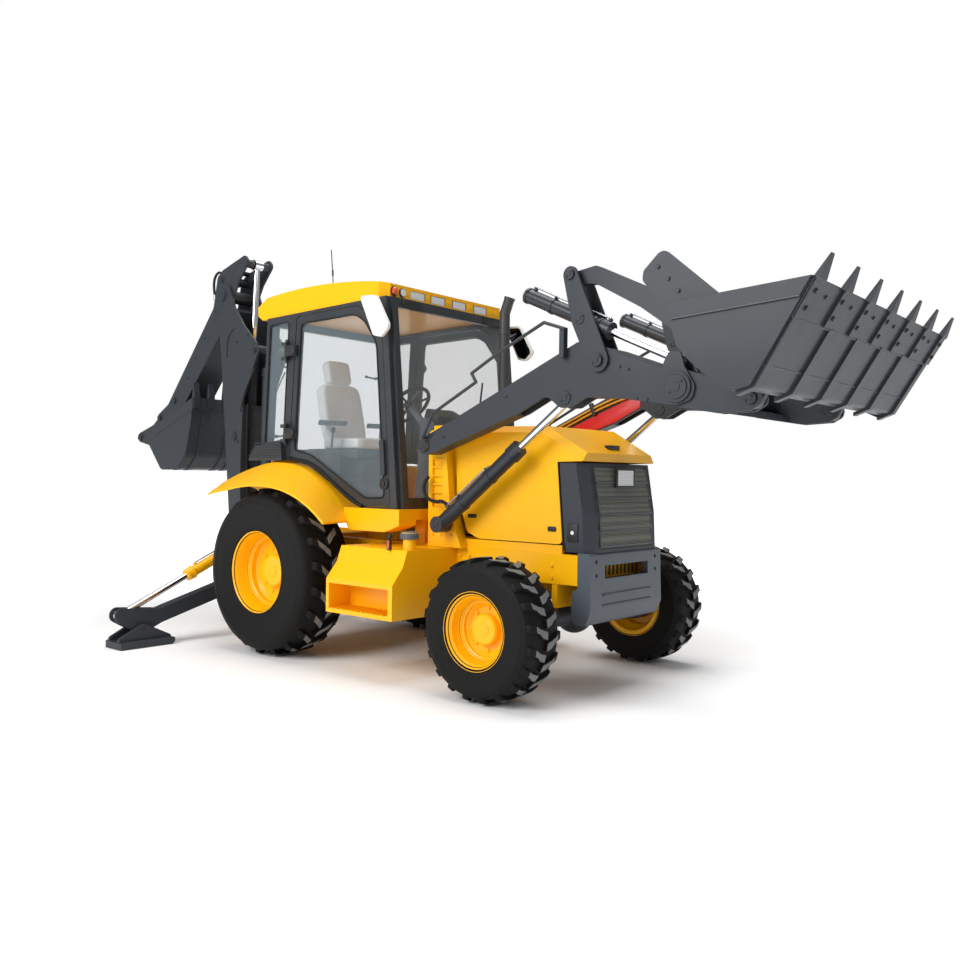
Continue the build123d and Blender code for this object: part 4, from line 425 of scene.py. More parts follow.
def tread_bar(stations, crown, centre, side, radius, shoulder):
    """One tread bar; station columns: offset from the middle plane, lag round the tyre, half width."""
    bm = bmesh.new()
    count = len(stations) - 1
    bmesh.ops.create_grid(bm, x_segments=count, y_segments=1, size=0.5)
    grown = bmesh.ops.extrude_face_region(bm, geom=bm.faces[:], use_keep_orig=True)["geom"]
    bmesh.ops.translate(bm, verts=[g for g in grown if isinstance(g, bmesh.types.BMVert)], vec=(0, 0, 1))
    bmesh.ops.recalc_face_normals(bm, faces=bm.faces)
    for vert in bm.verts:
        offset, lag, half = stations[round((vert.co.x + 0.5) * count)]
        top = vert.co.z > 0.5
        base = interpolated(crown, offset)
        height = min(radius, base + interpolated(shoulder, offset))
        reach = height if top else base - BAR_ROOT
        spread_out = half * (1 if top else BAR_FOOT) * (1 if vert.co.y > 0 else -1)
        turn = (spread_out - lag) / radius
        vert.co = (centre[0] + reach * cos(turn), centre[1] + side * offset, centre[2] + reach * sin(turn))
    bmesh.ops.recalc_face_normals(bm, faces=bm.faces)
    return ease(bm, 3, 1)


def tyre(name, body, centre, side, radius, bead, rows, stations, count, lug):
    """Tyre with two rows of tread bars set half a pitch apart."""
    half = [(bead, rows[0][1])] + rows
    section = half + [(r, -y) for r, y in reversed(half)]
    carcass = turned(section, centre, steps=120)
    crown = sorted((y, r) for r, y in rows[2:])
    shoulder = [(0, lug), (crown[-1][0] * 0.72, lug), (crown[-1][0] * 0.9, lug * 0.8), (crown[-1][0], 4)]
    bars = []
    for way, start in ((1, 0.0), (-1, 0.5)):
        bar = tread_bar([(abs(y), lag, w) for y, lag, w in stations], crown, centre, way, radius, shoulder)
        bmesh.ops.rotate(bar, verts=bar.verts, cent=centre,
                         matrix=Matrix.Rotation(start * 2 * pi / count, 3, "Y"))
        bars.append(ring_of(bar, centre, "Y", count))
    made = dress(f"{name}_{SIDES[side]}_dressed", [carcass] + bars, RUBBER, body,
                 replaced=[f"{name}_{SIDES[side]}"])
    # the outermost faces take the lighter tread-top grey
    made.data.materials.append(TREAD)
    for face in made.data.polygons:
        middle = face.center / MM - Vector(centre)
        if hypot(middle.x, middle.z) > radius - 4:
            face.material_index = 1
    return made


def wheel_rim(name, body, centre, side, flange, bead, well, half, hub, nuts, nut_ring):
    """Drop-centre rim, dished disc and hub cap, with its ring of nuts."""
    rows = [(flange, half + 19), (flange + 1, half + 10), (flange - 4, half + 5), (bead, half),
            (bead, half * 0.62), (well, half * 0.42), (well, -half * 0.42), (bead, -half * 0.62), (bead, -half),
            (flange, -half - 7), (flange, -half - 19), (bead - 12, -half - 14),
            (bead - 12, -half * 0.6), (well - 12, -half * 0.38), (well - 12, -6), (30, -6),
            (30, 60), (hub * 0.62, 70), (hub * 0.9, 66), (hub, 54), (hub, 14),
            (hub + 22, 12), (well - 40, 14), (well - 14, 40),
            (well - 12, half * 0.38), (bead - 30, half * 0.44), (bead - 14, half * 0.62),
            (bead - 12, half * 0.86), (bead + 6, half + 8), (flange - 8, half + 18)]
    shell = turned([(r, side * y) for r, y in rows], centre, steps=96)
    cap = turned([(1, side * 55), (1, side * 68), (40, side * 66), (40, side * 55)],
                 centre, steps=32)
    nut = bolt(Vector(centre) + Vector((nut_ring, side * 12, 0)), (0, side, 0), 26)
    ring = [ring_of(part, centre, "Y", nuts) for part in nut]
    return dress(f"{name}_{SIDES[side]}_dressed", [shell, cap] + ring, YELLOW, body,
                 replaced=[f"{name}_{SIDES[side]}"], smooth=28)


REAR_SECTION = [(305, 207), (330, 230), (345, 226), (400, 240), (455, 244), (520, 241),
                (528, 243), (536, 240), (582, 226), (606, 196), (614, 130), (618, 0)]
REAR_BARS = [(243, 0, 34), (215, 0, 32), (150, 6, 30), (100, 30, 30),
             (45, 78, 29), (0, 118, 27)]
FRONT_SECTION = [(222, 149), (242, 168), (254, 164), (300, 174), (335, 175.5), (372, 173),
                 (378, 175), (384, 172), (412, 160), (424, 138), (430, 90), (432, 0)]
FRONT_BARS = [(174, 0, 26), (150, 2, 26), (105, 12, 23), (70, 32, 19),
              (45, 48, 24), (0, 62, 25)]
WHEELS = [
    # node, x, y, radius, bead, section, bars, bar count, bar height
    ("rear_tyre", 0, 880, 657, 305, REAR_SECTION, REAR_BARS, 21, 39),
    ("front_tyre", 2240, 930, 460, 222, FRONT_SECTION, FRONT_BARS, 20, 28),
]
# rim node, flange radius, bead, well, half width, hub, nuts, nut ring
RIMS = {"rear_tyre": ("rear_rim", 333, 304.7, 267, 206, 130, 10, 178),
        "front_tyre": ("front_rim", 250, 221.7, 184, 148, 100, 8, 135)}


def wheels():
    """Tyres and rims of all four wheels, each riding on its own wheel."""
    for node, x, y, radius, bead, section, bars, count, lug in WHEELS:
        for side, word in SIDES.items():
            centre = Vector((x, side * y, radius))
            body = f"{node.split('_')[0]}_wheel_{word}"
            tyre(node, body, centre, side, radius, bead, section, bars, count, lug)
            rim, flange, bead_r, well, half, hub, nuts, nut_ring = RIMS[node]
            wheel_rim(rim, body, centre, side, flange, bead_r, well, half, hub, nuts, nut_ring)


wheels()


# ---------------------------------------------------------------- places and small parts
# pin centres in x and z, or in y and z for the stabilisers; the arms' middle plane and the stabilisers' own
ARM_Y = 595
ARM_PIVOT, LIFT_BASE, LIFT_EYE = (1374, 1640), (1489, 1080), (2600, 1930)
BUCKET_PIN, BUCKET_LINK_PIN, CROSS_TUBE = (3824, 1878), (3520, 2130), (3386, 1957)
BELL_PIVOT, BELL_TRUNNION, BELL_TOP, TILT_EYE = (2853, 2148), (2718, 2413), (2640, 2700), (3360, 2122)
BOOM_BASE, BOOM_CYL_BASE, BOOM_CYL_EYE = (-1620, 660), (-1380, 1000), (-1352, 2610)
DIPPER_PIVOT, DIPPER_CYL_BASE, DIPPER_TIP = (-1884, 3178), (-1670, 1784), (-2940, 1920)
BUCKET_CYL_BASE, ROCKER_PIVOT = (-1944, 3350), (-2790, 2180)
ROCKER_END, HOE_LINK_PIN = (-3115, 2014), (-3408, 1805)
STAB_X, STAB_PIVOT, STAB_CYL_BASE, STAB_EYE = -1035, (450, 490), (420, 845), (1667, 265)


def both(make):
    """Solids of the right side and then of the left."""
    return [part for side in SIDES for part in make(side)]


def side_box(side, low, high, edge=2):
    """A box on one side; its y is given as for the left."""
    near, far = sorted((side * low[1], side * high[1]))
    return box((low[0], near, low[2]), (high[0], far, high[2]), edge)


def side_plate(side, rows, low, high, corner=0, edge=2):
    """A plate of x and z rows on one side; its y is given as for the left."""
    return outline(rows, *sorted((side * low, side * high)), "Y", corner, edge)


def side_runs(rows, y):
    """The same run of x and z rows on both sides."""
    return [[(x, side * y, z) for x, z in rows] for side in SIDES]


def side_bolts(side, spots, y, across):
    """Bolts at x and z spots that stand out of a face at y."""
    return [part for x, z in spots for part in bolt((x, side * y, z), (0, side, 0), across)]


def along_cylinder(base, eye, y):
    """Places on a cylinder: run from its base pin towards its eye, rise square to that, and y."""
    run = Vector((eye[0] - base[0], 0, eye[1] - base[1])).normalized()
    rise = Vector((-run.z, 0, run.x))
    return lambda reach, up=0: Vector((base[0], y, base[1])) + run * reach + rise * up


def pin_cap(pin, y, side, radius, thick=8):
    """Round keeper plate over a pin's end, with its raised centre and two small bolts."""
    face, out = Vector((pin[0], y, pin[1])), Vector((0, side, 0))
    parts = [drum(face, face + out * thick, radius, 2, 32),
             drum(face + out * thick, face + out * (thick + 4), radius * 0.42, 1.5, 20)]
    for turn in (0.7, 0.7 + pi):
        spot = face + out * thick + Vector((cos(turn), 0, sin(turn))) * radius * 0.7
        parts += bolt(spot, out, 12)
    return parts


def pin_caps(side, rows, thick=8):
    """Keeper plates of one side; row columns: pin, face, 1 for outwards or -1, radius."""
    return [part for pin, face, out, radius in rows
            for part in pin_cap(pin, side * face, side * out, radius, thick)]


def clamp_band(place, reach, radius, width=26):
    """Split band round a barrel with its ear and bolt."""
    ear, half = place(reach + width / 2, radius + 12), Vector((0, 14, 0))
    return [drum(place(reach), place(reach + width), radius + 5, 1.5, 32),
            drum(ear - half, ear + half, 8, 1, 12)]


def loop_run(name, rows, y, radius, body="chassis"):
    """Closed rubber strip round a pane's outline; row columns: x, z, corner size."""
    points = []
    corners = [Vector((x, y, z)) for x, z, size in rows]
    for index, here in enumerate(corners):
        size = rows[index][2]
        back = (corners[index - 1] - here).normalized() * size
        front = (corners[(index + 1) % len(rows)] - here).normalized() * size
        points += [here + back, here + back * 0.3 + front * 0.3, here + front]
    tube_runs(name, [points + points[:1]], radius, HOSE, body, smooth=False)


# ---------------------------------------------------------------- cab
DOOR_PANE = [(1030, 1260, 30), (925, 2410, 40), (790, 2590, 40), (680, 2650, 40),
             (35, 2640, 30), (-35, 1620, 30), (180, 1580, 40), (820, 1250, 40)]
QUARTER_PANE = [(-180, 1620, 20), (-120, 2670, 20), (-370, 2662, 20), (-430, 1620, 20)]
FENDER_ARCH = [(-118, 1552), (60, 1536), (180, 1512), (330, 1440), (520, 1320), (700, 1215), (800, 1188)]
MIRROR_FACE = [(905, 2722), (1050, 2714), (1180, 2492), (1118, 2436), (1050, 2454)]
ROOF_LAMPS, LAMP_HALF = (-350, -120, 130, 390), 86
SEAT_LEAN = -13.5


def roof_lamp_panel():
    """Dark liners and yellow dividers of the work-lamp recess, and the round marker lamps."""
    parts = [box((945.4, y - LAMP_HALF, 2776), (950, y + LAMP_HALF, 2837), 1) for y in ROOF_LAMPS]
    for y in ROOF_LAMPS:
        parts += [box((948, y + low, 2778), (980, y + low + 8, 2835), 1.5) for low in (-84, 76)]
        parts += [box((948, y - 84, z), (980, y + 84, z + 4), 1.2) for z in (2775.5, 2833.5)]
    dress("roof_lamp_bezels", parts, PLASTIC)
    gaps = [(a + LAMP_HALF, b - LAMP_HALF) for a, b in zip(ROOF_LAMPS, ROOF_LAMPS[1:])]
    gaps.append((ROOF_LAMPS[-1] + LAMP_HALF, 610))
    dress("roof_lamp_dividers", [box((944, a, 2774), (984.5, b, 2839), 2) for a, b in gaps], YELLOW)
    marker = turned([(1, 0), (30, 0), (30, 14), (24, 22), (12, 26), (1, 27)], (984, -605, 2805), "X", 40)
    dress("roof_marker_lamp", [marker], AMBER_LENS)
    rings = [turned([(26, 0), (34, 0), (34, 10), (30, 14), (26, 12)], (984.5, -520, 2805), "X", 40),
             turned([(31, 0), (37, 0), (37, 7), (31, 9)], (984.5, -605, 2805), "X", 40)]
    dress("roof_marker_rings", rings, PLASTIC)


def cab_trim():
    """Visor tabs, window levers, wiper, vent ribs, seals and aerial of the cab."""
    parts = [outline([(y - 110, 2690), (y + 110, 2690), (y + 96, 2748), (y - 96, 2748)],
                     1040, 1056, "X", 6, 2) for y in (-470, 470)]
    parts += [box((1178, -55, 1192), (1206, 55, 1254), 8),
              drum((1190, 0, 1232), (1216, 0, 1238), 20, 3, 28)]
    for z in (1745, 2340):
        x = -487 + (z - 1560) * 70 / 1162
        for side in SIDES:
            inner, knob = (x - 34, side * 470, z + 8), (x - 36, side * 446, z + 10)
            parts += [drum((x + 6, side * 560, z), (x - 34, side * 560, z), 13, 2, 20),
                      drum((x - 30, side * 560, z), inner, 8, 3, 14), drum(inner, knob, 14, 5, 18)]
    dress("cab_fittings", parts, PLASTIC)
    wiper = [(1207, 0, 1238), (1190, 40, 1400), (1160, 120, 1720), (1143, 175, 1905)]
    tube_runs("wiper_arm", [wiper], 6, PLASTIC, smooth=False)
    dress("wiper_blade", [drum((x, 60, 1330), (x - 94, 300, 2190), radius, edge, 8)
                          for x, radius, edge in ((1192, 8, 2), (1187, 4, 1))], PLASTIC)
    dress("vent_cover_ribs", both(lambda side: [
        side_box(side, (-575 + max(0, step - 1) * 16, 766, 1556 + step * 20), (-150, 775, 1565 + step * 20), 3)
        for step in range(7)]), PLASTIC)
    tube_runs("fender_seals", side_runs(FENDER_ARCH, 726), 13, HOSE)
    for number, side in enumerate(SIDES):
        loop_run(f"quarter_seal_{number}", QUARTER_PANE, side * 720, 6)
    tube_runs("aerial_rod", [[(330, -640, 2905), (322, -640, 3010), (300, -640, 3210)]], 4, PLASTIC,
              smooth=False)
    dress("aerial_base", [drum((330, -640, 2898), (330, -640, 2930), 12, 3, 20, 7),
                          drum((323, -640, 3000), (320, -640, 3050), 7, 2, 16)], PLASTIC)
    dress("cab_roof_gasket", [box((-400, side * 690 - 12, 2744), (960, side * 690 + 12, 2753), 3)
                              for side in SIDES], PLASTIC)


def cab_controls():
    """Steering wheel, dashboard pod, dials, lever stems and their knobs."""
    hub, tilt = Vector((560, 0, 2010)), Vector((-320, 0, 310)).normalized()
    wheel = [turned([(185 + 16 * cos(turn * pi / 6), 16 * sin(turn * pi / 6)) for turn in range(12)],
                    (0, 0, 0), "Z", 64)]
    wheel += [drum((0, 0, -6), (178 * cos(turn), 178 * sin(turn), 0), 10, 2, 12)
              for turn in (0.5, 2.6, 4.7)]
    wheel.append(drum((0, 0, -30), (0, 0, 26), 48, 6, 36))
    grip = Matrix.Translation(hub) @ tilt.to_track_quat("Z", "Y").to_matrix().to_4x4()
    for bm in wheel:
        bmesh.ops.transform(bm, matrix=grip, verts=bm.verts)
    levers = ((-90, 1900), (90, 1900), (-30, 1860), (30, 1860))
    knobs = [turned([(1, -26), (16, -20), (22, 0), (18, 18), (1, 26)], point, "Z", 20)
             for point in [(20, -360, 1800)] + [(-390, y, top) for y, top in levers]]
    pod = outline([(870, 1880), (1010, 1840), (1040, 1900), (900, 1965)], -150, 150, "Y", 16, 5)
    dress("steering_wheel_grip", wheel + knobs + [pod], PLASTIC)
    stems = [[(-392, y, 1556), (-396, y * 1.05, 1700), (-390, y, top)] for y, top in levers]
    tube_runs("backhoe_lever_stems", stems, 7, CHROME)
    dress("dashboard_dials", [turned([(1, 0), (34, 0), (34, 6), (28, 8), (1, 5)], (910, y, 1882), "Z", 24)
                              for y in (-80, 0, 80)], WHITE_SHELL)


def fat_pad(low, high):
    """A cushion cage between two corners: ends drawn in, top and underside swollen in the middle."""
    bm = bmesh.new()
    bmesh.ops.create_cube(bm, size=1)
    bmesh.ops.subdivide_edges(bm, edges=bm.edges[:], cuts=3, use_grid_fill=True)
    for vert in bm.verts:
        x, y, z = vert.co
        swell = 1 + 0.10 * (1 - (2 * x) ** 2) * (1 - (2 * y) ** 2) if abs(z) > 0.49 else 1
        pinch = 1 - 0.06 * ((2 * x) ** 2 + (2 * y) ** 2 + (2 * z) ** 2) / 3
        vert.co = [(a + b) / 2 + at * (b - a) * pinch * grow
                   for a, b, at, grow in zip(low, high, (x, y, z), (1, 1, swell))]
    bmesh.ops.recalc_face_normals(bm, faces=bm.faces)
    return bm


def seat():
    """Cushion, leaning back and headrest, with the pedestal, shells and armrests that hold them."""
    pads = [fat_pad((-292, -247, 1640), (202, 247, 1742)),
            fat_pad((-62, -228, -265), (62, 228, 265)),
            fat_pad((-52, -132, -105), (52, 132, 105))]
    lean = Matrix.Rotation(radians(SEAT_LEAN), 4, "Y")
    for bm, place in zip(pads[1:], ((-292, 0, 1958), (-362, 0, 2325))):
        bmesh.ops.transform(bm, matrix=Matrix.Translation(place) @ lean, verts=bm.verts)
    pads = dress("seat_pads", pads, VINYL, smooth=60)
    smoother = pads.modifiers.new("stuffed", "SUBSURF")
    smoother.levels = smoother.render_levels = 2
    shell = [box((-225, -155, 1176), (145, 155, 1400), 10),
             box((-270, -235, 1560), (180, 235, 1640), 16)]
    shell += [outline(rows, -half, half, "Y", corner, edge) for rows, half, corner, edge in (
        ([(-225, 1400), (145, 1400), (180, 1560), (-270, 1560)], 150, 8, 4),
        ([(-262, 1690), (-212, 1672), (-345, 2190), (-398, 2180)], 190, 12, 6),
        ([(-398, 2240), (-345, 2240), (-376, 2425), (-408, 2418)], 90, 10, 5))]
    shell += both(lambda side: [
        side_plate(side, [(-250, 1850), (80, 1835), (90, 1875), (-240, 1895)], 255, 305, 14, 8),
        drum((-363, side * 42, 2170), (-375, side * 42, 2290), 9, 1, 12)])
    dress("seat_frame", shell, DARK_VINYL, replaced=["seat"])


def door_furniture():
    """Hinge covers, lock plate, pull and glass seal of each door, which swing with it."""
    for side, word in SIDES.items():
        body = f"cab_door_{word}_body"
        parts = [side_plate(side, [(-112, z - 43), (-22, z - 43), (10, z - 18), (10, z + 18), (-22, z + 43),
                                   (-112, z + 43)], 757, 772, 16, 5) for z in (2425, 1755)]
        parts += [side_plate(side, [(1000, 1322), (1060, 1322), (1078, 1362), (1060, 1402), (1000, 1402),
                                    (982, 1362)], 717, 732, 14, 4),
                  side_plate(side, [(1010, 1345), (1050, 1345), (1050, 1380), (1010, 1380)], 730, 742, 12, 4)]
        dress(f"door_fittings_{word}", parts, PLASTIC, body)
        loop_run(f"door_pane_seal_{word}", DOOR_PANE, side * 718, 7, body)


def mirror_faces():
    """Dark reflecting faces on the cab side of each mirror, and black arms."""
    faces = [side_plate(side, MIRROR_FACE, 832, 835.5, 22, 1) for side in SIDES]
    dress("mirror_glasses", faces, MIRROR)
    dress("mirror_arms", both(lambda side: [
        drum((995, side * 724, 2600), (1010, side * 840, 2660), 15, 2, 16),
        side_box(side, (970, 720, 2552), (1020, 750, 2648), 8)]), PLASTIC)


# ---------------------------------------------------------------- hood, nose and chassis
COWL_FACE = [(935.3, 2668), (1200, 2655), (1524, 2600)]     # z, x of the cowl's front
GRILLE_TOP, GRILLE_LOW, GRILLE_PANELS = 1492.0, 968.0, 5


def grille_bars():
    """Bars between the five grille panels, and the frame at their ends."""
    pitch = (GRILLE_TOP - GRILLE_LOW) / GRILLE_PANELS
    parts = []
    for row in range(GRILLE_PANELS):
        z = GRILLE_TOP - (row + 1) * pitch + 8
        x = interpolated(COWL_FACE, z) + 10
        parts.append(box((x - 6, -326, z - 4), (x + 4, 326, z + 7), 2))
    for side in SIDES:
        for row in range(GRILLE_PANELS):
            z1 = GRILLE_TOP - row * pitch
            z0 = z1 - pitch + 8
            x1, x0 = interpolated(COWL_FACE, z1), interpolated(COWL_FACE, z0) + 10
            rows = [(x1 - 8, z1), (x1 + 3, z1), (x0 + 3, z0), (x0 - 8, z0)]
            parts.append(side_plate(side, rows, 318, 328, 0, 1.5))
    dress("grille_bars", parts, GREY_TRIM)


def nose():
    """Lamp bezels, side markers, cowl gasket, bumper bars and bolt rings, and the hood's latches."""
    lamp = [box((2632, -114, 1366), (2655, -100, 1490), 3), box((2632, 100, 1366), (2655, 114, 1490), 3),
            box((2632, -114, 1480), (2653, 114, 1492), 3), box((2634, -114, 1364), (2656, 114, 1376), 3)]
    lamp += [side_box(side, (2484, 437, 1004), (2566, 446, 1126), 4) for side in SIDES]
    dress("side_marker_lenses", [drum((2525, side * 446, 1065), (2525, side * 449, 1065), 13, 1, 28)
                                 for side in SIDES], CLEAR_LENS)
    dress("lamp_bezels", lamp, PLASTIC)
    gaskets = side_runs([(2398, 1534), (2420, 1300), (2452, 990), (2462, 945)], 440)
    tube_runs("cowl_gaskets", gaskets, 7, HOSE, smooth=False)
    bars = [box((2588, y - 3, 770), (2600, y + 3, 846), 1) for y in range(-250, 251, 50)]
    dress("bumper_slot_bars", bars, PLASTIC)
    ring = [(14, 0), (30, 0), (30, 5), (26, 8), (14, 6)]
    dress("bumper_bolt_rings", [turned(ring, (2671 - (z - 560) * 0.032, side * 375, z), "X", 32)
                                for side in SIDES for z in (790, 880)], BLUE_GREY)
    latches = both(lambda side: [
        side_plate(side, [(x0, z0), (x1, z0), (x1, z1), (x0, z1)], 449, 456, 10, 3)
        for x0, x1, z0, z1 in ((2330, 2400, 1066, 1100), (1620, 1700, 1130, 1158))])
    dress("hood_latches", latches + [box((2520, -70, 1624), (2560, 70, 1652), 6)], PLASTIC, "hood_body")


def steps_and_filler():
    """Tower rungs, step treads, and the fuel filler with its gauge."""
    dress("tower_rungs", both(lambda side: [side_box(side, (1330, 501, z), (1430, 519, z + 14), 3)
                                            for z in range(1235, 1560, 62)]), YELLOW)
    dress("step_treads", both(lambda side: [
        side_box(side, (x, 905, 470), (x + 14, 1095, 477), 2) for x in range(890, 1470, 52)] + [
        side_box(side, (900, 955, z), (1460, 963, z + 8), 2) for z in (800, 852)]), YELLOW)
    cap = turned([(1, 1038), (40, 1038), (56, 1030), (62, 1018), (62, 986), (46, 982), (1, 982)],
                 (1450, -870, 0), "Z", 40)
    ribs = ring_of(box((1508, -873, 988), (1515, -867, 1022), 1.5), (1450, -870, 1000), "Z", 18)
    dress("filler_cap", [cap, ribs], GREY_TRIM)
    dress("fuel_gauge", [outline([(1340, 905), (1372, 905), (1372, 985), (1340, 985)], -985, -962, "Y", 10, 4),
                         drum((1356, -984, 1000), (1356, -955, 1000), 16, 4, 24)], PLASTIC)
    window = outline([(1349, 915), (1363, 915), (1363, 975), (1349, 975)], -987, -984, "Y", 5, 1)
    dress("fuel_gauge_glass", [window], AMBER_LENS)


def exhaust_and_driveline():
    """Bands of the exhaust and a dark disc in its mouth as painted shade of the open pipe; shafts, gearbox and
    steering cylinder under the frame.
    """
    run, mouth = Vector((50, 0, 120)).normalized(), Vector((1380, 290, 2850))
    bands = [drum(mouth - run * 14, mouth + run * 2, 45, 1.5, 32)]
    bands += [drum((1330, 290, low), (1330, 290, high), radius, edge, 32) for low, high, radius, edge in (
        (1850, 1874, 47, 2), (2560, 2584, 47, 2), (1802, 1815, 70, 3))]
    dress("exhaust_bands", bands, STACK)
    # black disc over the stack's open end: painted shade of the pipe's inside
    dress("exhaust_mouth_painted_shade", [drum(mouth + run, mouth + run * 3, 37, 0.5, 32)], RUBBER)
    shafts = [drum(start, end, radius, edge, 24) for start, end, radius, edge in (
        ((2105, 0, 455), (900, 0, 560), 34, 2), ((2110, 0, 455), (2040, 0, 461), 55, 4),
        ((960, 0, 555), (880, 0, 562), 55, 4), ((350, 0, 657), (600, 0, 640), 34, 2))]
    shafts += [box((600, -210, 480), (900, 210, 760), 22),
               drum((2128, -430, 470), (2128, 430, 470), 30, 3, 24)]
    dress("driveline", shafts, IRON)


def frame_details():
    """Bolts on the frame's rails and towers, brackets behind, and keeper plates on the towers."""
    rail = [(x, z - drop) for x, z in ((1560, 860), (1640, 860), (600, 860), (-400, 860), (-560, 840),
                                       (2110, 840), (2370, 840)) for drop in (0, 80)]
    tower = ((1345, 1700), (1400, 1700), (1520, 1000), (1420, 1000), (1340, 1000), (1340, 1120))
    dress("frame_bolts", both(lambda side: side_bolts(side, rail, 453, 26)
                              + side_bolts(side, tower, 520, 20)), YELLOW)
    hook = [(-760, 560), (-700, 560), (-690, 640), (-730, 700), (-790, 700), (-800, 640), (-760, 640)]
    dress("frame_brackets", both(lambda side: [
        side_plate(side, hook, 432, 448, 8, 3),
        side_box(side, (-720, 453, 780), (-640, 470, 860), 4)]), SLATE)
    dress("tower_pin_caps", both(lambda side: pin_caps(side, [(ARM_PIVOT, 667, 1, 40)])
                                 + pin_caps(side, [(LIFT_BASE, 641, 1, 32)], 6)), SLATE)


# ---------------------------------------------------------------- loader
ARM_CAPS = [(BUCKET_PIN, 645, 1, 38), (BUCKET_PIN, 545, -1, 38), (BELL_PIVOT, 689, 1, 40),
            (BELL_PIVOT, 501, -1, 40), (LIFT_EYE, 655, 1, 44), (LIFT_EYE, 535, -1, 40),
            (CROSS_TUBE, 669, 1, 70)]
BELL_CAPS = [(BELL_TOP, 685, 1, 34), (BELL_TOP, 505, -1, 34), (BELL_TRUNNION, 677.5, 1, 34),
             (BELL_TRUNNION, 512.5, -1, 34)]
ARM_BOLTS = [(3000, 2100), (3060, 2080), (3120, 1900), (3190, 1893), (2120, 1960), (1560, 1700)]
ARM_STRIPE = [(1640, 1660), (2225, 1852), (2440, 1955), (2440, 2065), (2215, 1972), (1640, 1745)]
ARM_PIPE = [(1560, 1800), (1700, 1862), (2200, 2078), (2600, 2160), (2760, 2140)]
BUCKET_LIP = (4350, 2390)


def loader_arms():
    """Keeper plates, red stripes, pipes with their clips, and weld beads of the loader arms."""
    dress("arm_pin_caps", both(lambda side: pin_caps(side, ARM_CAPS) + side_bolts(side, ARM_BOLTS, 655, 18)),
          SLATE, "loader_arm_body")
    stripes = [side_plate(side, ARM_STRIPE, 531, 535.5, 3, 1) for side in SIDES]
    dress("arm_stripes", stripes, RED, "loader_arm_body")
    dress("arm_pipe_clips", both(lambda side: [
        side_plate(side, [(x - 14, z - 10), (x + 14, z + 2), (x - 26, z + 92), (x - 54, z + 80)], 506, 536)
        for x, z in ((1660, 1744), (2050, 1913), (2420, 2025))]), PLASTIC, "loader_arm_body")
    # the pipes' yellow finish is a painted reflection
    tube_runs("arm_pipes", [[(x, side * 518, z + rise) for x, z in ARM_PIPE]
                            for side in SIDES for rise in (-45, -75)], 9, PIPE, "loader_arm_body")
    beads = side_runs([(2978, 2196), (3050, 2166), (3200, 2110), (3286, 2084)], 657)
    tube_runs("arm_weld_beads", beads, 4, SLATE, "loader_arm_body")


def loader_cylinders():
    """Glands, fittings, clamp bands, pipes and feed hoses of the lift and tilt barrels."""
    lift, tilt, lift_pipes, tilt_pipes = [], [], [], []
    for side in SIDES:
        place = along_cylinder(LIFT_BASE, LIFT_EYE, side * ARM_Y)
        lift += clamp_band(place, 560, 52) + clamp_band(place, 250, 52)
        lift += [drum(place(806), place(820), 61, 2, 32), drum(place(130, 40), place(130, 74), 16, 2, 16)]
        lift_pipes.append([place(130, 72), place(160, 76), place(260, 70), place(560, 70), place(600, 62)])
        place = along_cylinder(BELL_TRUNNION, TILT_EYE, side * ARM_Y)
        tilt += clamp_band(place, -300, 48) + clamp_band(place, 60, 48)
        tilt.append(drum(place(-519), place(-495), 54, 4, 32))
        tilt += [drum(place(reach, 36), place(reach, 70), 15, 2, 16) for reach in (-470, 165)]
        tilt.append(drum(place(112), place(126), 57, 2, 32))
        tilt_pipes.append([place(-470, 68), place(-440, 72), place(-300, 66), place(60, 66), place(165, 70)])
    dress("lift_barrel_fittings", lift, DARK_BLUE, "lift_barrels_body")
    dress("tilt_barrel_fittings", tilt, DARK_BLUE, "tilt_barrels_body")
    tube_runs("lift_barrel_pipes", lift_pipes, 8, ZINC, "lift_barrels_body")
    tube_runs("tilt_barrel_pipes", tilt_pipes, 7, ZINC, "tilt_barrels_body")
    for side, word in SIDES.items():
        place = along_cylinder(LIFT_BASE, LIFT_EYE, side * ARM_Y)
        start, end = Vector((1330, side * 560, 1420)), place(130, 82)
        rows = [start, (1290, side * 575, 1380), (1330, side * 600, 1270), (1440, side * 600, 1235),
                place(112, 130), end]
        hose = tube_runs(f"lift_hose_{word}", [rows], 13, HOSE, ride=False)
        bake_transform(hose)
    dress("bellcrank_caps", both(lambda side: pin_caps(side, BELL_CAPS, 6)), SLATE, "bellcranks_body")


def floor_point(reach, depth, y):
    """Place under the bucket floor: reach from the lip along the floor, depth below it."""
    run = Vector((306, 0, 501)).normalized()
    return Vector((BUCKET_LIP[0], y, BUCKET_LIP[1])) + run * reach + Vector((run.z, 0, -run.x)) * depth


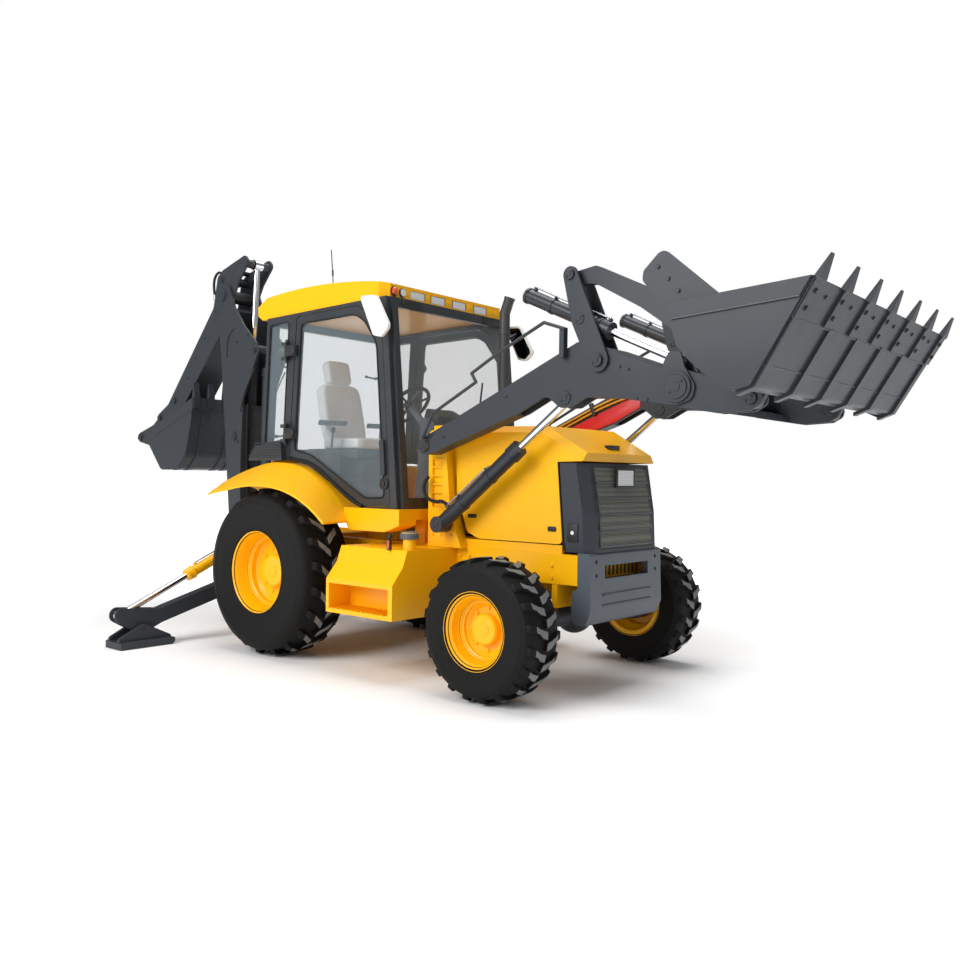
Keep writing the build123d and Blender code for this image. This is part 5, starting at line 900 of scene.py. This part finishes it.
def loader_bucket_details():
    """Bolts in the edge, weld beads in a lighter grey that partly paints their highlight, and keeper plates of
    the front bucket.
    """
    out = floor_point(0, 1, 0) - floor_point(0, 0, 0)
    bolts = []
    for row in range(7):
        y = -1080 + row * 360
        bolts += bolt(floor_point(-60, 25, y), out, 24) + bolt(floor_point(-150, 25, y), out, 24)
        if row < 6:
            bolts += bolt(floor_point(-70, 9, y + 180), out, 20)
    dress("edge_bolts", bolts, SLATE, "loader_bucket_body")
    beads = [[floor_point(reach, depth, y) for y in (-1122, 0, 1122)]
             for reach, depth in ((-212, 9), (-470, 0))]
    for side in SIDES:
        beads += [[(x, side * y, z) for x, z in rows] for y, rows in (
            (1150, ((3606, 2256), (4290, 2299))),
            (1124, ((3590, 2346), (3690, 2128), (3765, 2060), (3900, 1945))))]
    # the beads are raised seams, and their lighter grey is a painted highlight along them
    tube_runs("bucket_weld_beads_painted_highlight", beads, 4, GREY_TRIM, "loader_bucket_body", smooth=False)
    caps = [(BUCKET_LINK_PIN, 653, 1, 30), (BUCKET_LINK_PIN, 537, -1, 30)]
    cheek = [(3650, 2400), (3590, 2470), (3530, 2540)]
    dress("bucket_keepers", both(lambda side: pin_caps(side, caps, 6) + side_bolts(side, cheek, 1140, 22)),
          SLATE, "loader_bucket_body")


# ---------------------------------------------------------------- backhoe and stabilisers
HOE_CAPS = {
    "swing_frame": [(BOOM_BASE, 222, 50), (BOOM_CYL_BASE, 111, 40)],
    "boom": [(DIPPER_PIVOT, 188, 46), (DIPPER_CYL_BASE, 184, 36), (BOOM_CYL_EYE, 190, 32)],
    "dipper": [(BUCKET_CYL_BASE, 162, 28), (ROCKER_PIVOT, 158, 34)],
    "backhoe_bucket": [(DIPPER_TIP, 188, 42), (HOE_LINK_PIN, 190, 32)],
    "rocker": [(ROCKER_END, 132, 28)],
}
BOOM_BOLTS = [(-1465, 2752), (-1606, 1729), (-1812, 2655), (-1640, 2700)]
DIPPER_BOLTS = [(-2542, 2400), (-2046, 3038), (-2400, 2600), (-2240, 2790)]
BOOM_BEADS = [[(-1690, 2830), (-1760, 2800), (-1800, 2720), (-1806, 2640), (-1806, 2560)],
              [(-1345, 2420), (-1440, 2300), (-1530, 2150), (-1566, 2020)]]
DIPPER_HOSE = [(-1985, 3372), (-2030, 3440), (-2110, 3450), (-2168, 3390), (-2172, 3290), (-2150, 3215)]


def backhoe_plates():
    """Keeper plates, bolts and weld beads of the digging arm."""
    for name, rows in HOE_CAPS.items():
        dress(f"{name}_caps", [part for pin, face, radius in rows for side in SIDES
                               for part in pin_cap(pin, side * face, side, radius, 7)], SLATE, f"{name}_body")
    dress("boom_studs", both(lambda side: side_bolts(side, BOOM_BOLTS, 176, 22)), SLATE, "boom_body")
    tube_runs("boom_side_beads", [[(x, side * 180, z) for x, z in rows] for side in SIDES
                                  for rows in BOOM_BEADS], 7, DARK_BLUE, "boom_body")
    dress("dipper_studs", both(lambda side: side_bolts(side, DIPPER_BOLTS, 150, 20)), SLATE, "dipper_body")
    cheek = side_runs([(-2960, 1800), (-2600, 1925), (-2250, 2040)], 301)
    tube_runs("bucket_cheek_beads", cheek, 7, DARK_BLUE, "backhoe_bucket_body", smooth=False)


def backhoe_cylinders():
    """Glands, bands, pipes and hoses of the boom and bucket cylinders, and the arm's own hoses."""
    for name, base, eye, length, radius in (("boom", BOOM_CYL_BASE, BOOM_CYL_EYE, 1440, 64),
                                            ("hoe_bucket", BUCKET_CYL_BASE, ROCKER_END, 1030, 54)):
        place, body = along_cylinder(base, eye, 0), f"{name}_barrel_body"
        parts = [drum(place(length - 78), place(length - 66), radius + 11, 2, 36),
                 drum(place(length - 4), place(length + 6), radius - 6, 3, 36)]
        parts += clamp_band(place, length * 0.55, radius)
        parts += [drum(place(reach, 12 - radius), place(reach, -radius - 20), 15, 2, 16)
                  for reach in (130, length - 110)]
        dress(f"{name}_barrel_fittings", parts, SLATE, body)
        pipe = [place(reach, -radius - 12) for reach in (130, 200, length * 0.55, length - 180, length - 110)]
        tube_runs(f"{name}_barrel_pipe", [pipe], 8, ZINC, body)
    tube_runs("dipper_top_hoses", side_runs(DIPPER_HOSE, 92), 13, HOSE, "dipper_body")
    dress("dipper_hose_ends", [drum((-2150, side * 92, 3228), (-2145, side * 92, 3170), 16, 2, 16)
                               for side in SIDES], ZINC, "dipper_body")
    hoses = [[(-1560, y, 900), (-1548, y * 1.6, 1300), (-1545, y * 1.8, 1700), (-1530, y * 1.8, 2100)]
             for y in (-66, -40, 40, 66)]
    tube_runs("boom_front_hoses", hoses, 12, HOSE, "boom_body")


def stabiliser_details():
    """Glands, pipes, bolts, keeper plates and hoses of both stabilisers."""
    for side, word in SIDES.items():
        base, eye = [Vector((STAB_X, side * y, z)) for y, z in (STAB_CYL_BASE, STAB_EYE)]
        run = (eye - base).normalized()
        rise = Vector((0, side * abs(run.z), abs(run.y)))
        parts = [drum(base + run * 645, base + run * 657, 58, 2, 32),
                 drum(base + run * 706, base + run * 716, 40, 2, 32)]
        parts += [drum(base + run * reach + rise * 34, base + run * reach + rise * 66, 14, 2, 16)
                  for reach in (110, 600)]
        dress(f"stabiliser_glands_{word}", parts, YELLOW, f"stabiliser_barrel_{word}_body")
        pipe = [base + run * reach + rise * up
                for reach, up in ((110, 62), (150, 64), (400, 62), (570, 64), (600, 62))]
        tube_runs(f"stabiliser_pipe_{word}", [pipe], 7, ZINC, f"stabiliser_barrel_{word}_body")
        bolts = [part for way in (-1, 1) for y, z, across in ((1440, 205, 26), (900, 350, 22))
                 for part in bolt((STAB_X + way * 50, side * y, z), (way, 0, 0), across)]
        dress(f"stabiliser_leg_bolts_{word}", bolts, SLATE, f"stabiliser_leg_{word}_body")
        bolts = [part for x in (-1130, -940) for y in (1300, 1660)
                 for part in bolt((x, side * y, 55), (0, 0, 1), 24)]
        dress(f"stabiliser_pad_bolts_{word}", bolts, SLATE, f"stabiliser_pad_{word}_body")
    caps = []
    for side in SIDES:
        for (y, z), radius in ((STAB_PIVOT, 44), (STAB_CYL_BASE, 34)):
            caps += [drum((-1121, side * y, z), (-1112, side * y, z), radius, 2, 32),
                     drum((-953, side * y, z), (-945, side * y, z), radius, 2, 32)]
            caps += bolt((-1121, side * y, z), (-1, 0, 0), 20)
    dress("stabiliser_pin_caps", caps, SLATE)
    hoses = [[(-1118, side * 250, 900), (-1128, side * 330, 955), (-1128, side * 420, 950),
              (-1122, side * 470, 915)] for side in SIDES]
    tube_runs("stabiliser_hoses", hoses, 12, HOSE)


for add_details in (roof_lamp_panel, cab_trim, cab_controls, seat, door_furniture, mirror_faces,
                    grille_bars, nose, steps_and_filler, exhaust_and_driveline, frame_details,
                    loader_arms, loader_cylinders, loader_bucket_details,
                    backhoe_plates, backhoe_cylinders, stabiliser_details):
    add_details()


# ---------------------------------------------------------------- light, floor and camera
def studio():
    """White floor that keeps the shadow, a white surround, a large soft key and a fill."""
    finish, tree, place = new_finish("matt_studio_floor")
    seen = add_node(tree, "LightPath")
    either = add_node(tree, "Math", links={0: seen.outputs["Is Camera Ray"], 1: seen.outputs["Is Glossy Ray"]},
                      operation="MAXIMUM")
    away = add_node(tree, "VectorMath", links={0: place}, operation="LENGTH").outputs["Value"]
    lift = add_node(tree, "MapRange", {"From Min": 2.6, "From Max": 6.5, "To Min": 0.0, "To Max": 1.0},
                    {"Value": away})
    glow = add_node(tree, "Math", links={0: either, 1: lift}, operation="MULTIPLY")
    mottle = add_node(tree, "TexNoise", {"Scale": 1 / (500 * MM)}, {"Vector": place})
    tint = add_node(tree, "Mix", {6: linear("#F6F6F6"), 7: linear("#F3F3F3")}, {0: mottle}, data_type="RGBA")
    rough = add_node(tree, "MapRange", {"To Min": 0.8, "To Max": 0.9}, {"Value": mottle})
    surface = add_node(tree, "BsdfPrincipled", {"Emission Color": (1, 1, 1, 1), "Specular IOR Level": 0.2},
                       {"Base Color": tint.outputs[2], "Roughness": rough, "Emission Strength": glow})
    add_node(tree, "OutputMaterial", links={"Surface": surface})
    bm = bmesh.new()
    bmesh.ops.create_grid(bm, x_segments=1, y_segments=1, size=90)
    mesh = bpy.data.meshes.new("studio_floor")
    bm.to_mesh(mesh)
    bm.free()
    mesh.materials.append(finish)
    floor = bpy.data.objects.new("studio_floor", mesh)
    bpy.context.scene.collection.objects.link(floor)

    world = bpy.data.worlds.new("white_surround")
    world.use_nodes = True
    tree = world.node_tree
    tree.nodes.clear()
    seen = add_node(tree, "LightPath")
    direct = add_node(tree, "Math", operation="MAXIMUM",
                      links={0: seen.outputs["Is Camera Ray"], 1: seen.outputs["Is Transmission Ray"]})
    strength = add_node(tree, "MapRange", {"To Min": 0.3, "To Max": 1.0}, {"Value": direct})
    sky = add_node(tree, "Background", {"Color": (1, 1, 1, 1)}, {"Strength": strength})
    add_node(tree, "OutputWorld", links={"Surface": sky})
    bpy.context.scene.world = world

    for name, place, aim, size, power in (
            ("key_light", (0.0, -9.5, 6.2), (0.8, 0, 1.2), 6.0, 900),
            ("front_light", (9.5, -2.5, 6.5), (1.5, 0, 1.2), 5.0, 110),
            ("top_light", (0.5, 1.0, 9.5), (0.5, 0, 0.0), 7.0, 640)):
        lamp = bpy.data.lights.new(name, "AREA")
        lamp.size = size
        lamp.energy = power
        holder = bpy.data.objects.new(name, lamp)
        run = Vector(aim) - Vector(place)
        holder.matrix_world = Matrix.Translation(place) @ run.to_track_quat("-Z", "Y").to_matrix().to_4x4()
        bpy.context.scene.collection.objects.link(holder)


def camera():
    """Low three-quarter view from the front right, turned a little about its own axis."""
    azimuth, pitch, roll = radians(40.5706), radians(0.1906), radians(0.8137)
    back = Vector((sin(azimuth) * cos(pitch), -cos(azimuth) * cos(pitch), sin(pitch)))
    right = (-back).cross(Vector((0, 0, 1))).normalized()
    up = right.cross(-back)
    axes = (right * cos(roll) + up * sin(roll), up * cos(roll) - right * sin(roll), back)
    turn = Matrix(axes).transposed().to_4x4()
    lens_data = bpy.data.cameras.new("front_right_camera")
    lens_data.lens = 34.447
    lens_data.sensor_width = 36.0
    lens_data.clip_end = 200.0
    view = bpy.data.objects.new("front_right_camera", lens_data)
    view.matrix_world = Matrix.Translation((5.9713, -5.4065, 1.4227)) @ turn
    bpy.context.scene.collection.objects.link(view)
    bpy.context.scene.camera = view


studio()
camera()
bpy.context.scene.view_settings.view_transform = "Standard"

bpy.context.view_layer.update()
